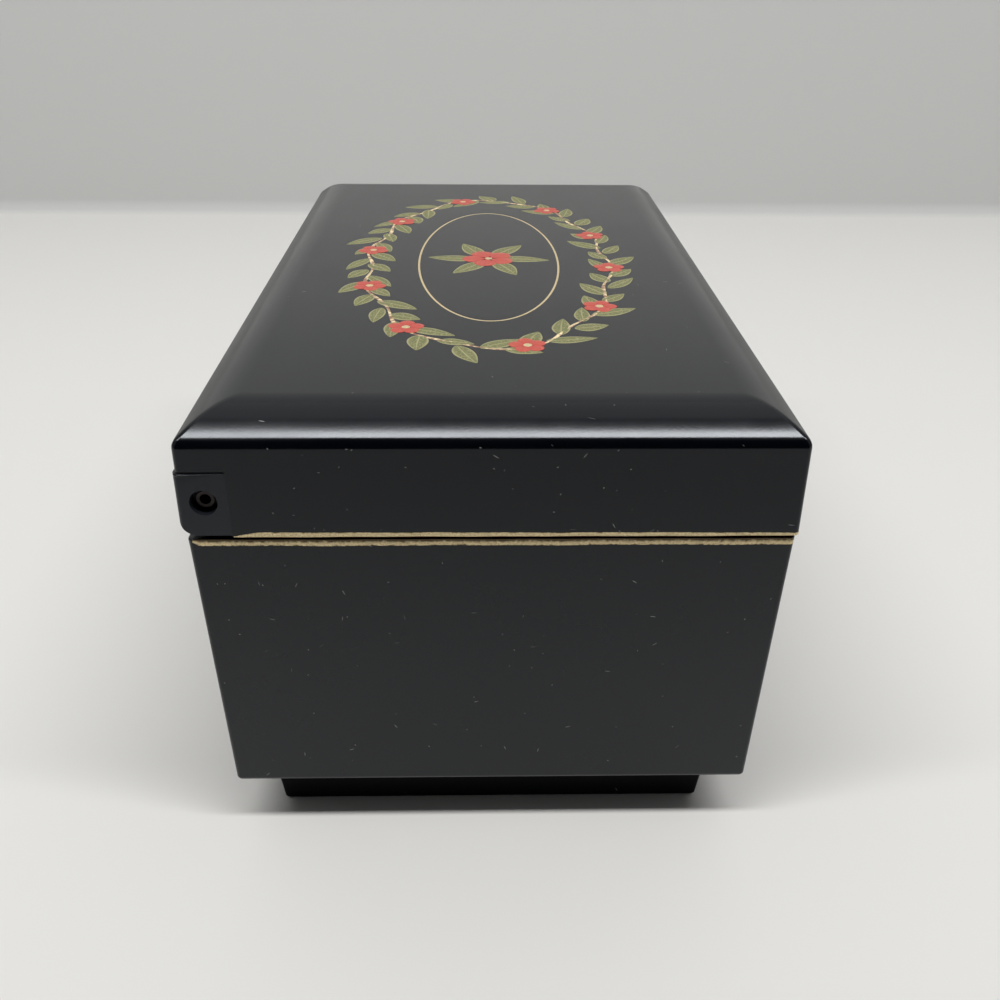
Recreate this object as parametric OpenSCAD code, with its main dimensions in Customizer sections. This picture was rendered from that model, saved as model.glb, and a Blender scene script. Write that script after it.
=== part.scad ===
// Musical jewelry box: a moulded case on a recessed plinth, a bevelled lid on corner hinges,
// lined compartments, ring rolls, and a wound cylinder movement under a clear cover.
// Millimetres. The origin is under the middle of the plinth, +X runs along the long side,
// -Y is the front, +Y the hinge side and +Z up.

/* [Case] */
// Length of the lid along X, at its shoulder
box_len = 176; // [160:1:220]
// Depth of the lid along Y, at its shoulder
box_dep = 102.6; // [98:0.2:130]
// Height of the case from its underside to its rim
body_h = 56.4; // [52:0.2:80]
// Thickness of the case walls
wall = 3; // [2.4:0.1:4]
// Thickness of the case floor
floor_t = 3; // [2.6:0.1:5]
// Draft of the case walls, in degrees
body_draft = 1.3; // [0:0.1:2]
// Radius of the upright corners of case and lid
corner_r = 0.8; // [0.6:0.1:3]
// Radius of the bottom edge of the case
edge_r = 1.2; // [0.5:0.1:3]
// How far the lid stands out over the case on each side
lid_step = 0.45; // [0:0.05:1]
// Gap between the two rims
rim_gap = 0.6; // [0.4:0.1:1.5]

/* [Lid] */
// Height of the lid wall from its rim to the shoulder
lid_wall_h = 17.4; // [16:0.2:30]
// Thickness of the lid walls and top
lid_t = 2.6; // [2:0.1:3.2]
// Draft of the lid walls, in degrees
lid_draft = 0.63; // [0:0.01:1.5]
// Width of the bevel in plan
bevel_w = 10; // [8:0.5:14]
// Rise of the bevel from the shoulder to the flat top
bevel_rise = 4.5; // [3:0.1:5]
// Radius that rounds the shoulder
shoulder_r = 2.4; // [1:0.1:3]

/* [Plinth] */
// Height of the plinth
plinth_h = 12; // [11.5:0.1:20]
// How far the top of the plinth stands back under the case
plinth_inset = 6; // [4:0.1:9]
// Draft of the plinth sides, in degrees
plinth_draft = 5; // [0:0.5:8]
// Thickness of the plinth frame
plinth_wall = 4; // [3:0.1:5]
// Radius of the plinth's bottom edge
plinth_edge_r = 0.8; // [0.3:0.1:1.5]

/* [Hinge] */
// Distance of the hinge axis from the back face of the lid
axis_in = 4.1; // [3.6:0.1:5]
// Height of the hinge axis above the lid rim
axis_up = 6.55; // [6.5:0.05:9]
// Reach of a hinge block forward from the back face
block_dep = 8.1; // [7.8:0.1:12]
// Length of a hinge block along X, from the end face
block_len = 7; // [6:0.1:10]
// Rise of a hinge block above the axis
block_rise = 5.65; // [5.3:0.05:7]
// Radius of the rear lower edge that lets the lid swing
swing_r = 3; // [2.6:0.1:3.4]
// Height of that edge above the lid rim
swing_gap = 0.36; // [0.2:0.02:0.8]
// Height of the underside of a hinge block above the lid rim
block_gap = 0.4; // [0.3:0.05:1.5]
// How far a hinge block stands out behind the back face of the lid
block_proud = 0.4; // [0:0.05:0.4]
// Radius of the bead of glue under a hinge block's top seam, at the corner
bead_r = 0.45; // [0.2:0.05:0.5]
// Length of a hinge post along X
post_len = 6.8; // [5:0.1:10]
// Radius of the rounded top of a hinge post
post_r = 3.4; // [2.8:0.1:3.5]
// How far a post runs down inside the case below the rim
post_drop = 14; // [8:0.5:20]
// Gap between a post and the lid on each side
side_gap = 0.3; // [0.2:0.05:0.6]
// Radius of a hinge pin
pin_r = 1.5; // [1.2:0.05:1.8]
// Radius of the hollow of a hinge pin
pin_hollow_r = 0.95; // [0.5:0.05:1]
// How far a pin end lies below the end face
pin_recess = 1.4; // [0.5:0.1:2]
// Radius of the eye round the pin end
eye_r = 2.3; // [2:0.05:3]
// Depth of that eye
eye_depth = 2.4; // [1.6:0.1:3]
// Running clearance of shafts and pins, on the radius
run_gap = 0.05; // [0.02:0.01:0.1]

/* [Lining] */
// Thickness of the lined wall panels
lining_t = 1.5; // [1:0.1:2.5]
// Gap between a panel and what it stands against
fit_gap = 0.3; // [0.1:0.05:0.5]
// How far the front and end panels stand above the rim
lip_h = 3; // [1:0.1:4]
// Distance from the hinge axis that the lip of the end panels keeps
lip_back = 9.3; // [9.2:0.1:14]
// Thickness of the floor pad
pad_t = 2; // [1:0.1:4]
// Thickness of the partition and the divider
divider_t = 2; // [1.5:0.1:3]
// Height of the partition and the divider above the case floor
divider_h = 45; // [40:0.5:50]
// Gap between the top of the movement and the cleats over it
deck_gap = 0.8; // [0.5:0.1:3]
// Thickness of the ring deck and the clear cover
deck_t = 2; // [1.5:0.1:3]
// Height of a cleat
cleat_h = 4; // [3:0.1:6]
// Width of a cleat
cleat_w = 3; // [2:0.1:5]
// Slot between ring rolls, at their widest
ring_slot = 0.8; // [0.5:0.1:3]
// How far the foot of a ring roll is cut flat
roll_flat = 1.6; // [0.8:0.1:2.5]

/* [Mirror] */
// Thickness of the lid lining
lid_lining_t = 2; // [1:0.1:2.5]
// Length of the mirror along X
mirror_len = 126; // [80:1:140]
// Depth of the mirror along Y
mirror_dep = 58; // [40:1:60]
// Thickness of the mirror
mirror_t = 2.2; // [1.5:0.1:3]
// Width of the mirror frame outside the glass
frame_w = 3.6; // [2:0.1:4]
// How far the frame laps over the glass
frame_lap = 1.6; // [1:0.1:3]
// Thickness of the frame in front of the glass
frame_lip = 0.8; // [0.5:0.1:1.5]

/* [Movement] */
// Height of the bosses that carry the bedplate
boss_h = 2; // [1:0.1:4]
// Radius of those bosses
boss_r = 4; // [3:0.1:5]
// Thickness of the bedplate
bed_t = 2.5; // [2:0.1:4]
// Corner radius of the bedplate
bed_corner_r = 3; // [1:0.1:5]
// Edge of the bedplate past the pieces that stand on it
bed_edge = 1; // [0.5:0.1:3]
// Depth of the bedplate behind the cylinder axis
bed_back = 20; // [19:0.5:24]
// Gap between the bedplate and the linings round it
bed_gap = 0.5; // [0.3:0.1:2]
// Radius of the winding arbor
arbor_r = 2; // [1.5:0.1:2.5]
// Radius of the spring can
can_r = 10.9; // [10:0.1:11]
// Height of the spring can
can_h = 10; // [8:0.1:10.5]
// Wall of the spring can
can_t = 0.8; // [0.5:0.1:1.2]
// Thickness of the mainspring strip
strip_t = 0.4; // [0.3:0.05:0.5]
// Turns of the mainspring
strip_turns = 6; // [4:1:6]
// Height of the mainspring strip
strip_h = 7.5; // [5:0.1:8]
// Radius of the cylinder
drum_r = 6.4; // [5.5:0.1:6.6]
// Height of the cylinder's pins
pin_h = 0.7; // [0.4:0.05:0.9]
// Radius of a cylinder pin
tune_pin_r = 0.18; // [0.12:0.01:0.25]
// Pins on each track of the cylinder
pins_per_track = 4; // [1:1:6]
// Height of the cylinder axis above the bedplate
drum_z = 8.6; // [8.4:0.1:10]
// Radius of the cylinder arbor
drum_arbor_r = 0.75; // [0.6:0.05:1]
// Thickness of the upright plates
upright_t = 1.4; // [1:0.1:2]
// Notes on the comb
comb_notes = 18; // [12:1:20]
// Spacing of the comb teeth
comb_pitch = 0.92; // [0.85:0.01:1.1]
// Width of a comb tooth
comb_tooth_w = 0.6; // [0.4:0.05:0.7]
// Thickness of a comb tooth
comb_tooth_t = 0.5; // [0.3:0.05:0.6]
// Length of a comb tooth
comb_tooth_len = 9; // [7:0.1:11]
// Depth of the comb's solid base
comb_base_dep = 7; // [6:0.1:9]
// Thickness of the comb's base
comb_t = 1.6; // [1:0.1:2.5]
// Gap between the comb tips and the path of the pins
comb_gap = 0.3; // [0.2:0.05:0.6]

/* [Gear train] */
// Module of the great wheel and the cylinder pinion
crown_mod = 0.6375; // [0.6:0.0025:0.7]
// Teeth of the great wheel
crown_n = 40; // [38:1:44]
// Leaves of the cylinder pinion
pinion_n = 10; // [8:1:12]
// Width of the ring of crown teeth
crown_face = 2.5; // [2:0.1:3]
// Thickness of the great wheel
crown_t = 1.4; // [1:0.1:2.5]
// Module of the cylinder wheel and the governor
fine_mod = 0.4; // [0.38:0.01:0.42]
// Teeth of the cylinder wheel
wheel_n = 36; // [34:1:38]
// Leaves of the governor pinion
leaf_n = 9; // [8:1:10]
// Teeth of the worm wheel
worm_n = 18; // [16:1:20]
// Thickness of the fine wheels
wheel_t = 1.2; // [0.8:0.1:1.4]
// Pitch radius of the worm
worm_r = 1.2; // [1.1:0.05:1.3]
// Length of the worm
worm_len = 6; // [4:0.5:7]
// Radius of the governor arbor
gov_arbor_r = 0.6; // [0.4:0.05:0.7]
// Radius of the worm shaft
fly_shaft_r = 0.5; // [0.4:0.05:0.6]
// Reach of a fly vane from its axis
fly_r = 4.2; // [3:0.1:4.3]
// Height of a fly vane
fly_h = 3.5; // [2.5:0.1:3.6]
// Thickness of a fly vane
fly_t = 0.5; // [0.3:0.05:0.8]
// Height of the underside of the vanes above the bedplate
fly_z = 13.2; // [13:0.1:14]
// Gap between wheels and the plates beside them
wheel_gap = 0.5; // [0.4:0.1:1]
// How far the cylinder pinion is longer than the ring of crown teeth
pinion_extra = 0.4; // [0:0.1:0.6]
// Height of the upright plates above the bores in them
upright_rise = 2; // [1.5:0.1:3]
// Half width of a bearing plate at the cylinder arbor, and width of the governor bracket
bearing_w = 3; // [2:0.1:4]
// Half width of a bearing plate at the governor arbor
gov_bearing_w = 2; // [1.5:0.1:2.2]
// Thickness of the governor bracket
bracket_t = 1.5; // [1:0.1:2]
// Height of the bracket's foot, which the worm shaft stands in
foot_h = 2; // [1.5:0.1:3]

/* [Winding key] */
// Span of the key across its wings
key_span = 24; // [18:0.5:30]
// Height of the wings
key_wing_h = 8; // [6:0.1:8.5]
// Thickness of the wings
key_t = 1.6; // [1:0.1:3]
// Radius of the key's hub
key_hub_r = 3; // [2.8:0.1:4]
// Gap between the hub and the case floor
key_gap = 1; // [0.5:0.1:2]
// Radius of the holes in the wings
key_eye_r = 1.8; // [1:0.1:2.5]

/* [Stop rod] */
// Radius of the stop rod
rod_r = 1.2; // [1:0.05:1.4]
// Radius of its brake collar
collar_r = 2.2; // [2:0.1:2.4]
// Height of the brake collar
collar_h = 3; // [2:0.1:3.2]
// Gap between the collar and the path of the fly, and between the rod and the lid lining
brake_gap = 0.3; // [0.2:0.05:0.5]
// Outer radius of the guide bushes
guide_r = 2.4; // [2:0.1:3]
// Height of the lower guide
guide_h = 4.5; // [3:0.1:6]
// Height and width of the upper guide's flange
flange_h = 0.8; // [0.5:0.1:1.5]
// Wire radius of the rod spring
wire_r = 0.25; // [0.2:0.01:0.3]
// Curls of the rod spring
curls = 7; // [5:1:8]

/* [Screws] */
// Radius of the shank of the case screws
screw_r = 1.4; // [1.2:0.05:1.6]
// Radius of the head of the case screws
head_r = 2.6; // [2.4:0.1:3]
// Height of the head of the case screws
head_h = 1.8; // [1.2:0.1:2.5]
// Clearance of screw shanks in plain holes, on the radius
screw_gap = 0.1; // [0.05:0.05:0.3]
// Wall of the plinth bosses round the screw heads
boss_wall = 2.4; // [1.5:0.1:3]
// Depth of the plinth screws in the case floor
bite = 2.2; // [1.5:0.1:2.4]
// Height of the seat of the plinth screws
seat_z = 5; // [4:0.1:8]
// Distance of the plinth screws from the plinth's outer faces
screw_in = 9; // [8:0.1:12]
// Distance of the front bedplate screws from the bedplate's front edge
bed_screw_y = 7.4; // [6:0.1:9]
// Distance of the front bedplate screws from the bedplate's ends
bed_screw_x = 5; // [4.5:0.1:14]
// Distance of the rear bedplate screw from the arbor, along X
rear_screw_x = 21; // [18:0.5:24]
// Distance of the rear bedplate screw from the arbor, along Y
rear_screw_y = 10; // [8:0.5:11]
// Distance of the comb screws from the ends of the comb
comb_screw_in = 3; // [2.5:0.1:5]
// Radius of the comb screws
comb_screw_r = 1; // [0.7:0.05:1.2]
// Radius of the head of the comb screws
comb_head_r = 2; // [1.6:0.1:2.4]

/* [Hidden] */
$fn = 48;
// A cut runs this far past the faces that it opens
over = 1;
// Steps of a rounded corner, a rounded edge and the lid's bevel in a lofted shell
corner_steps = 5;
edge_steps = 4;
bevel_steps = 8;
// Points of a ring across the seam bead
bead_steps = 12;

// Levels of the case and the lid
z_body = plinth_h;
z_floor = z_body + floor_t;
z_rim = z_body + body_h;
z_lid = z_rim + rim_gap;
z_shoulder = z_lid + lid_wall_h;
z_top = z_shoulder + bevel_rise;

// Half sizes of the lid rim, the case rim and the plinth top
lid_flare = lid_wall_h * tan(lid_draft);
lid_hx = box_len / 2 + lid_flare;
lid_hy = box_dep / 2 + lid_flare;
rim_hx = lid_hx - lid_step;
rim_hy = lid_hy - lid_step;
body_taper = body_h * tan(body_draft);
plinth_hx = rim_hx - body_taper - plinth_inset;
plinth_hy = rim_hy - body_taper - plinth_inset;
plinth_taper = plinth_h * tan(plinth_draft);

// Bevel of the lid: an arc that meets the flat top and runs into the smaller arc of the shoulder
bevel_arc_r = (pow(bevel_w, 2) + pow(bevel_rise, 2)) / (2 * bevel_rise);
bevel_turn = asin((bevel_w - shoulder_r) / (bevel_arc_r - shoulder_r));
shoulder_z = z_top - bevel_arc_r + (bevel_arc_r - shoulder_r) * cos(bevel_turn);

// Hinge
axis_y = lid_hy - lid_flare * axis_up / lid_wall_h - axis_in;
axis_z = z_lid + axis_up;
back_y = axis_y + axis_in;
end_x = lid_hx - lid_flare * axis_up / lid_wall_h;
block_x = end_x - block_len;
post_x1 = block_x - side_gap;
post_x0 = post_x1 - post_len;
notch_x = post_x0 - side_gap;

// Seam bead of a hinge block: its level, the centre of the corner that it rounds and its thin ends
bead_z = axis_z + block_rise - bead_r;
bead_in = lid_flare * (bead_z - z_lid) / lid_wall_h + corner_r;
bead_x = lid_hx - bead_in;
bead_y = lid_hy - bead_in;
bead_tip_r = bead_r / 4;
bead_reach = block_dep - 2 * corner_r;

// Half sizes of the case's inside at a height, and of the space inside the linings
function in_hx(z) = rim_hx - body_taper * (1 - (z - z_body) / body_h) - wall;
function in_hy(z) = rim_hy - body_taper * (1 - (z - z_body) / body_h) - wall;
function lined_hx(z) = in_hx(z) - fit_gap - lining_t;
function lined_hy(z) = in_hy(z) - fit_gap - lining_t;
lip_z = z_rim + lip_h;
flush_z = z_rim - fit_gap;

// Teeth: their share of the pitch, their height over and under the pitch line in modules,
// and their thickness at the root and at the tip against that on the pitch line
tooth_share = 0.36;
addendum = 0.8;
dedendum = 1.1;
root_k = 1.3;
tip_k = 0.6;

// Gear train, along X from the winding arbor
crown_r = crown_mod * crown_n / 2;
pinion_r = crown_mod * pinion_n / 2;
crown_z = drum_z + pinion_r;
crown_root_z = crown_z + dedendum * crown_mod;
pinion_len = crown_face + pinion_extra;
upright_a = crown_r + crown_face / 2 + wheel_gap;
drum_x = upright_a + upright_t + wheel_gap;
drum_len = comb_notes * comb_pitch + comb_pitch;
wheel_x = drum_x + drum_len + wheel_gap;
worm_wheel_x = wheel_x + wheel_t + 2 * wheel_gap;
worm_x = worm_wheel_x + wheel_t / 2;
worm_tip_r = worm_r + addendum * fine_mod;
upright_b = worm_x + worm_tip_r + wheel_gap;
gov_post_x = wheel_x - 2 * wheel_gap - upright_t;
gov_y = fine_mod * (wheel_n + leaf_n) / 2;
worm_lead = PI * fine_mod;
fly_y = gov_y + fine_mod * worm_n / 2 + worm_r;
pin_path_r = drum_r + pin_h;
comb_tip_y = -(pin_path_r + comb_gap);
comb_root_y = comb_tip_y - comb_tooth_len;
comb_front_y = comb_root_y - comb_base_dep;
comb_z = drum_z - comb_t / 2;
upright_top = drum_z + upright_rise;
fly_top_z = fly_z + fly_h;
bracket_z = fly_top_z + 2 * wheel_gap;
bracket_y = fly_y + fly_r + wheel_gap;

// Bedplate, from the winding arbor
bed_x0 = -(crown_r + crown_face / 2 + bed_edge);
bed_x1 = upright_b + upright_t + bed_edge;
bed_y0 = comb_front_y - bed_edge;

// Place of the movement in the case: its arbor and the top of its bedplate
move_x = lined_hx(z_floor) - bed_gap - bed_x1;
move_y = lined_hy(z_floor) - bed_gap - bed_back;
move_z = z_floor + boss_h + bed_t;
partition_x = move_x + bed_x0 - bed_gap - divider_t;
divider_y = move_y + bed_y0 - bed_gap - divider_t;
deck_x0 = partition_x + divider_t + fit_gap;
z_deck = move_z + bracket_z + bracket_t + deck_gap + cleat_h;
bed_screws = [
  [bed_x0 + bed_screw_x, bed_y0 + bed_screw_y],
  [bed_x1 - bed_screw_x - plinth_inset, bed_y0 + bed_screw_y],
  [rear_screw_x, rear_screw_y]
];
plinth_screw_x = plinth_hx - screw_in;
plinth_screw_y = plinth_hy - screw_in;
plinth_boss_r = head_r + boss_wall;
comb_screw_x = [drum_x + comb_screw_in, drum_x + drum_len - comb_screw_in];
comb_screw_y = comb_root_y - comb_base_dep / 2;

// Lid lining, mirror and stop rod
z_ceiling = z_top - lid_t;
z_lining = z_ceiling - lid_lining_t;
lining_hx = box_len / 2 - bevel_w - fit_gap;
lining_hy = box_dep / 2 - bevel_w - fit_gap;
frame_t = mirror_t + frame_lip;
rod_x = worm_x - fly_r - brake_gap - collar_r;
rod_y = fly_y;
rod_foot = fit_gap;
rod_top = z_lining - brake_gap - move_z;
spring_r = rod_r + fit_gap + wire_r;

// Ring rolls fill the depth in front of the divider
roll_front = -lined_hy(z_deck) + fit_gap;
roll_pitch = (divider_y - fit_gap - roll_front) / 4;
roll_r = (roll_pitch - ring_slot) / 2;
roll_x0 = deck_x0 + fit_gap;
roll_x1 = lined_hx(z_deck) - fit_gap;
roll_steps = 8;

// Colours
black_plastic = [0.10, 0.10, 0.11];
plinth_black = [0.05, 0.05, 0.06];
red_velvet = [0.45, 0.03, 0.06];
brass = [0.80, 0.62, 0.28];
steel = [0.70, 0.71, 0.73];
zinc = [0.58, 0.58, 0.60];

// A ring of points: a rectangle of half sizes hx and hy with round corners, at height z
function ring(hx, hy, z, r) = [
  for (q = [0:3])
    for (k = [0:corner_steps - 1])
      let (a = 90 * q + 90 * k / (corner_steps - 1),
           sx = (q == 0 || q == 3) ? 1 : -1,
           sy = (q < 2) ? 1 : -1)
      [sx * (hx - r) + r * cos(a), sy * (hy - r) + r * sin(a), z]
];

// A closed solid through a row of rings, each with the same number of points in order
module skin(rings) {
  n = len(rings[0]);
  last = (len(rings) - 1) * n;
  sides = [
    for (j = [0:len(rings) - 2])
      for (i = [0:n - 1])
        let (p = j * n + i, q = j * n + (i + 1) % n)
        each [[p, p + n, q + n], [p, q + n, q]]
  ];
  first_face = [for (i = [0:n - 1]) i];
  last_face = [for (i = [n - 1:-1:0]) last + i];
  polyhedron([for (r = rings) each r], concat([first_face], sides, [last_face]));
}

// A solid through levels [inset, z] of a rectangle of half sizes hx and hy
module loft(hx, hy, levels, r) {
  skin([for (l = levels) ring(hx - l[0], hy - l[0], l[1], r)]);
}

// A flat plate from corner to corner with round corners, standing on z = 0
module plate(x0, y0, x1, y1, t, r) {
  linear_extrude(t) {
    translate([x0 + r, y0]) square([x1 - x0 - 2 * r, y1 - y0]);
    translate([x0, y0 + r]) square([x1 - x0, y1 - y0 - 2 * r]);
    for (x = [x0 + r, x1 - r])
      for (y = [y0 + r, y1 - r])
        translate([x, y]) circle(r);
  }
}

// A box between two corners
module block(a, b) {
  translate(a) cube(b - a);
}

// Carries a drawing in Y and Z along X, from x0 to x1
module along_x(x0, x1) {
  translate([x0, 0, 0]) rotate([90, 0, 90]) linear_extrude(x1 - x0) children();
}

// Carries a drawing in X and Z along Y, from y0 to y1
module along_y(y0, y1) {
  translate([0, y1, 0]) rotate([90, 0, 0]) linear_extrude(y1 - y0) children();
}

// A round bar or bore along X through the point [y, z]
module bar_x(x0, x1, y, z, r) {
  translate([x0, y, z]) rotate([0, 90, 0]) cylinder(h = x1 - x0, r = r);
}

// Moves what is drawn round the winding arbor into the case
module in_movement() {
  translate([move_x, move_y, move_z]) children();
}

// Outline of a wheel with straight-sided teeth; phase turns the first tooth from +X
function wheel_points(n, mod, phase) =
  let (pitch_r = n * mod / 2,
       tip_r = pitch_r + addendum * mod,
       root_r = pitch_r - dedendum * mod,
       half = tooth_share * PI * mod / 2)
  [
    for (i = [0:n - 1])
      let (a = phase + 360 * i / n,
           root_a = root_k * half / root_r * 180 / PI,
           tip_a = tip_k * half / tip_r * 180 / PI)
      each [
        [root_r * cos(a - root_a), root_r * sin(a - root_a)],
        [tip_r * cos(a - tip_a), tip_r * sin(a - tip_a)],
        [tip_r * cos(a + tip_a), tip_r * sin(a + tip_a)],
        [root_r * cos(a + root_a), root_r * sin(a + root_a)]
      ]
  ];

// A toothed wheel on an arbor along X
module wheel_x_axis(x, y, t, n, mod, phase, bore_r) {
  translate([x, y, drum_z]) rotate([90, 0, 90]) linear_extrude(t) difference() {
    polygon(wheel_points(n, mod, phase));
    circle(bore_r);
  }
}

// Outer and inner form of the case
function edge_levels(base_inset, r, z0) = [
  for (k = [0:edge_steps])
    let (a = 90 * k / edge_steps)
    [base_inset + r * (1 - sin(a)), z0 + r * (1 - cos(a))]
];
module body_outer() {
  levels = concat(edge_levels(body_taper, edge_r, z_body), [[0, z_rim]]);
  loft(rim_hx, rim_hy, levels, corner_r);
}

// The case's inside, drafted like its outside
module body_cavity() {
  skin([for (z = [z_floor, z_rim + over]) ring(in_hx(z), in_hy(z), z, corner_r)]);
}

// A hinge post that rises from the case's back wall and carries a pin
module hinge_post() {
  in_wall_y = in_hy(z_rim - post_drop) + wall / 2;
  difference() {
    union() {
      block([post_x0, axis_y - post_r, z_rim - post_drop], [post_x1, in_wall_y, z_rim]);
      block([post_x0, axis_y - post_r, z_rim], [post_x1, axis_y + post_r, axis_z]);
      bar_x(post_x0, post_x1, axis_y, axis_z, post_r);
    }
    bar_x(post_x0 - over, post_x1 + over, axis_y, axis_z, pin_r);
  }
}

module box_body() {
  color(black_plastic) difference() {
    union() {
      difference() {
        body_outer();
        body_cavity();
      }
      hinge_post();
      mirror([1, 0, 0]) hinge_post();
      for (p = bed_screws)
        translate([move_x + p[0], move_y + p[1], z_floor - over])
          cylinder(h = boss_h + over, r = boss_r);
    }
    translate([move_x, move_y, z_body - over])
      cylinder(h = floor_t + 2 * over, r = arbor_r + 2 * fit_gap);
    for (p = bed_screws)
      translate([move_x + p[0], move_y + p[1], z_body - over])
        cylinder(h = floor_t + boss_h + 2 * over, r = screw_r + screw_gap);
    for (x = [-1, 1])
      for (y = [-1, 1])
        translate([x * plinth_screw_x, y * plinth_screw_y, z_body - over])
          cylinder(h = bite + over + screw_gap, r = screw_r);
  }
}

module base_plinth() {
  levels = concat(edge_levels(plinth_taper, plinth_edge_r, 0), [[0, plinth_h]]);
  inner = [[plinth_taper + plinth_wall, -over], [plinth_wall, plinth_h + over]];
  color(plinth_black) difference() {
    union() {
      difference() {
        loft(plinth_hx, plinth_hy, levels, corner_r);
        loft(plinth_hx, plinth_hy, inner, corner_r);
      }
      for (x = [-1, 1])
        for (y = [-1, 1])
          translate([x * plinth_screw_x, y * plinth_screw_y, 0]) {
            cylinder(h = plinth_h, r = plinth_boss_r);
            block([min(0, x * screw_in / 2), -plinth_wall / 2, 0],
                  [max(0, x * screw_in / 2), plinth_wall / 2, plinth_h]);
          }
    }
    for (x = [-1, 1])
      for (y = [-1, 1])
        translate([x * plinth_screw_x, y * plinth_screw_y, -over]) {
          cylinder(h = plinth_h + 2 * over, r = screw_r + screw_gap);
          cylinder(h = seat_z + over, r = head_r + fit_gap);
        }
  }
}

// A pan-head screw that points up, with its head's seat at z = 0 and a cross slot below
module screw(shank, r, big_r, big_h) {
  slot_w = big_r / 4;
  difference() {
    union() {
      cylinder(h = shank, r = r);
      translate([0, 0, -big_h]) cylinder(h = big_h, r = big_r);
    }
    for (a = [0, 90])
      rotate([0, 0, a])
        block([-0.7 * big_r, -slot_w / 2, -big_h - over], [0.7 * big_r, slot_w / 2, -big_h / 2]);
  }
}

module plinth_screws() {
  color(steel)
    for (x = [-1, 1])
      for (y = [-1, 1])
        translate([x * plinth_screw_x, y * plinth_screw_y, seat_z])
          screw(plinth_h + bite - seat_z, screw_r, head_r, head_h);
}

// A hollow hinge pin; side is -1 at the left end and 1 at the right
module hinge_pin(side) {
  outer_x = end_x - pin_recess;
  inner_x = post_x0 + over;
  mirror([side < 0 ? 1 : 0, 0, 0]) difference() {
    bar_x(inner_x, outer_x, axis_y, axis_z, pin_r);
    bar_x(inner_x - over, outer_x + over, axis_y, axis_z, pin_hollow_r);
  }
}
module hinge_pin_left() {
  color(steel) hinge_pin(-1);
}
module hinge_pin_right() {
  color(steel) hinge_pin(1);
}

// Section of a wall panel: half is in_hx or in_hy at the floor and at the panel's top
module panel_section(half_floor, half_top, top) {
  polygon([
    [half_floor - fit_gap - lining_t, z_floor],
    [half_floor - fit_gap, z_floor],
    [half_top - fit_gap, top],
    [half_top - fit_gap - lining_t, top]
  ]);
}
module lining_front() {
  half = in_hx(z_floor) - corner_r;
  color(red_velvet) mirror([0, 1, 0]) along_x(-half, half)
    panel_section(in_hy(z_floor), in_hy(lip_z), lip_z);
}
module lining_back() {
  half = post_x0 - fit_gap;
  color(red_velvet) along_x(-half, half)
    panel_section(in_hy(z_floor), in_hy(flush_z), flush_z);
}
module lining_end() {
  y0 = -(lined_hy(z_floor) - fit_gap);
  y1 = in_hy(z_floor) - corner_r;
  step_y = axis_y - lip_back;
  difference() {
    along_y(y0, y1) panel_section(in_hx(z_floor), in_hx(lip_z), lip_z);
    block([0, step_y, flush_z], [box_len, y1 + over, lip_z + over]);
  }
}
module lining_right() {
  color(red_velvet) lining_end();
}
module lining_left() {
  color(red_velvet) mirror([1, 0, 0]) lining_end();
}

module floor_pad() {
  half = lined_hy(z_floor) - fit_gap;
  color(red_velvet) translate([0, 0, z_floor])
    plate(-lined_hx(z_floor) + fit_gap, -half, partition_x - fit_gap, half, pad_t, corner_r);
}

module end_partition() {
  half = lined_hy(z_floor) - fit_gap;
  color(red_velvet)
    block([partition_x, -half, z_floor], [partition_x + divider_t, half, z_floor + divider_h]);
}

module cross_divider() {
  color(red_velvet)
    block([deck_x0, divider_y, z_floor],
          [lined_hx(z_floor) - fit_gap, divider_y + divider_t, z_floor + divider_h]);
}

// Strips under the ring deck and the clear cover, on the divider and on the linings
module deck_cleats() {
  z0 = z_deck - cleat_h;
  x1 = lined_hx(z_floor) - fit_gap;
  side_y = lined_hy(z0);
  color(plinth_black) {
    block([deck_x0, -side_y, z0], [x1, -side_y + cleat_w, z_deck]);
    block([deck_x0, divider_y - cleat_w, z0], [x1, divider_y, z_deck]);
    block([deck_x0, divider_y + divider_t, z0], [x1, divider_y + divider_t + cleat_w, z_deck]);
    block([deck_x0, side_y - cleat_w, z0], [x1, side_y, z_deck]);
  }
}

module ring_deck() {
  color(red_velvet)
    block([deck_x0, roll_front, z_deck],
          [lined_hx(z_deck) - fit_gap, divider_y - fit_gap, z_deck + deck_t]);
}

// A padded roll along X: a barrel whose ends close in an ellipse, cut flat where it lies
module ring_roll(i) {
  half = (roll_x1 - roll_x0) / 2;
  end_len = roll_r;
  y = roll_front + (i - 0.5) * roll_pitch;
  z = z_deck + deck_t + roll_r - roll_flat;
  profile = concat(
    [[0, -half]],
    [for (k = [1:roll_steps])
      let (a = 90 * k / roll_steps)
      [roll_r * sin(a), -half + end_len * (1 - cos(a))]],
    [for (k = [roll_steps:-1:1])
      let (a = 90 * k / roll_steps)
      [roll_r * sin(a), half - end_len * (1 - cos(a))]],
    [[0, half]]
  );
  color(red_velvet) intersection() {
    translate([(roll_x0 + roll_x1) / 2, y, z]) rotate([0, 90, 0])
      rotate_extrude() polygon(profile);
    block([roll_x0 - over, y - roll_pitch, z_deck + deck_t],
          [roll_x1 + over, y + roll_pitch, z + 2 * roll_r]);
  }
}
module ring_roll_1() { ring_roll(1); }
module ring_roll_2() { ring_roll(2); }
module ring_roll_3() { ring_roll(3); }
module ring_roll_4() { ring_roll(4); }

module movement_window() {
  color([0.85, 0.9, 0.95, 0.4]) difference() {
    block([deck_x0, divider_y + divider_t + fit_gap, z_deck],
          [lined_hx(z_deck) - fit_gap, lined_hy(z_deck) - fit_gap, z_deck + deck_t]);
    translate([move_x + rod_x, move_y + rod_y, z_deck - over])
      cylinder(h = deck_t + 2 * over, r = guide_r);
  }
}

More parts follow.
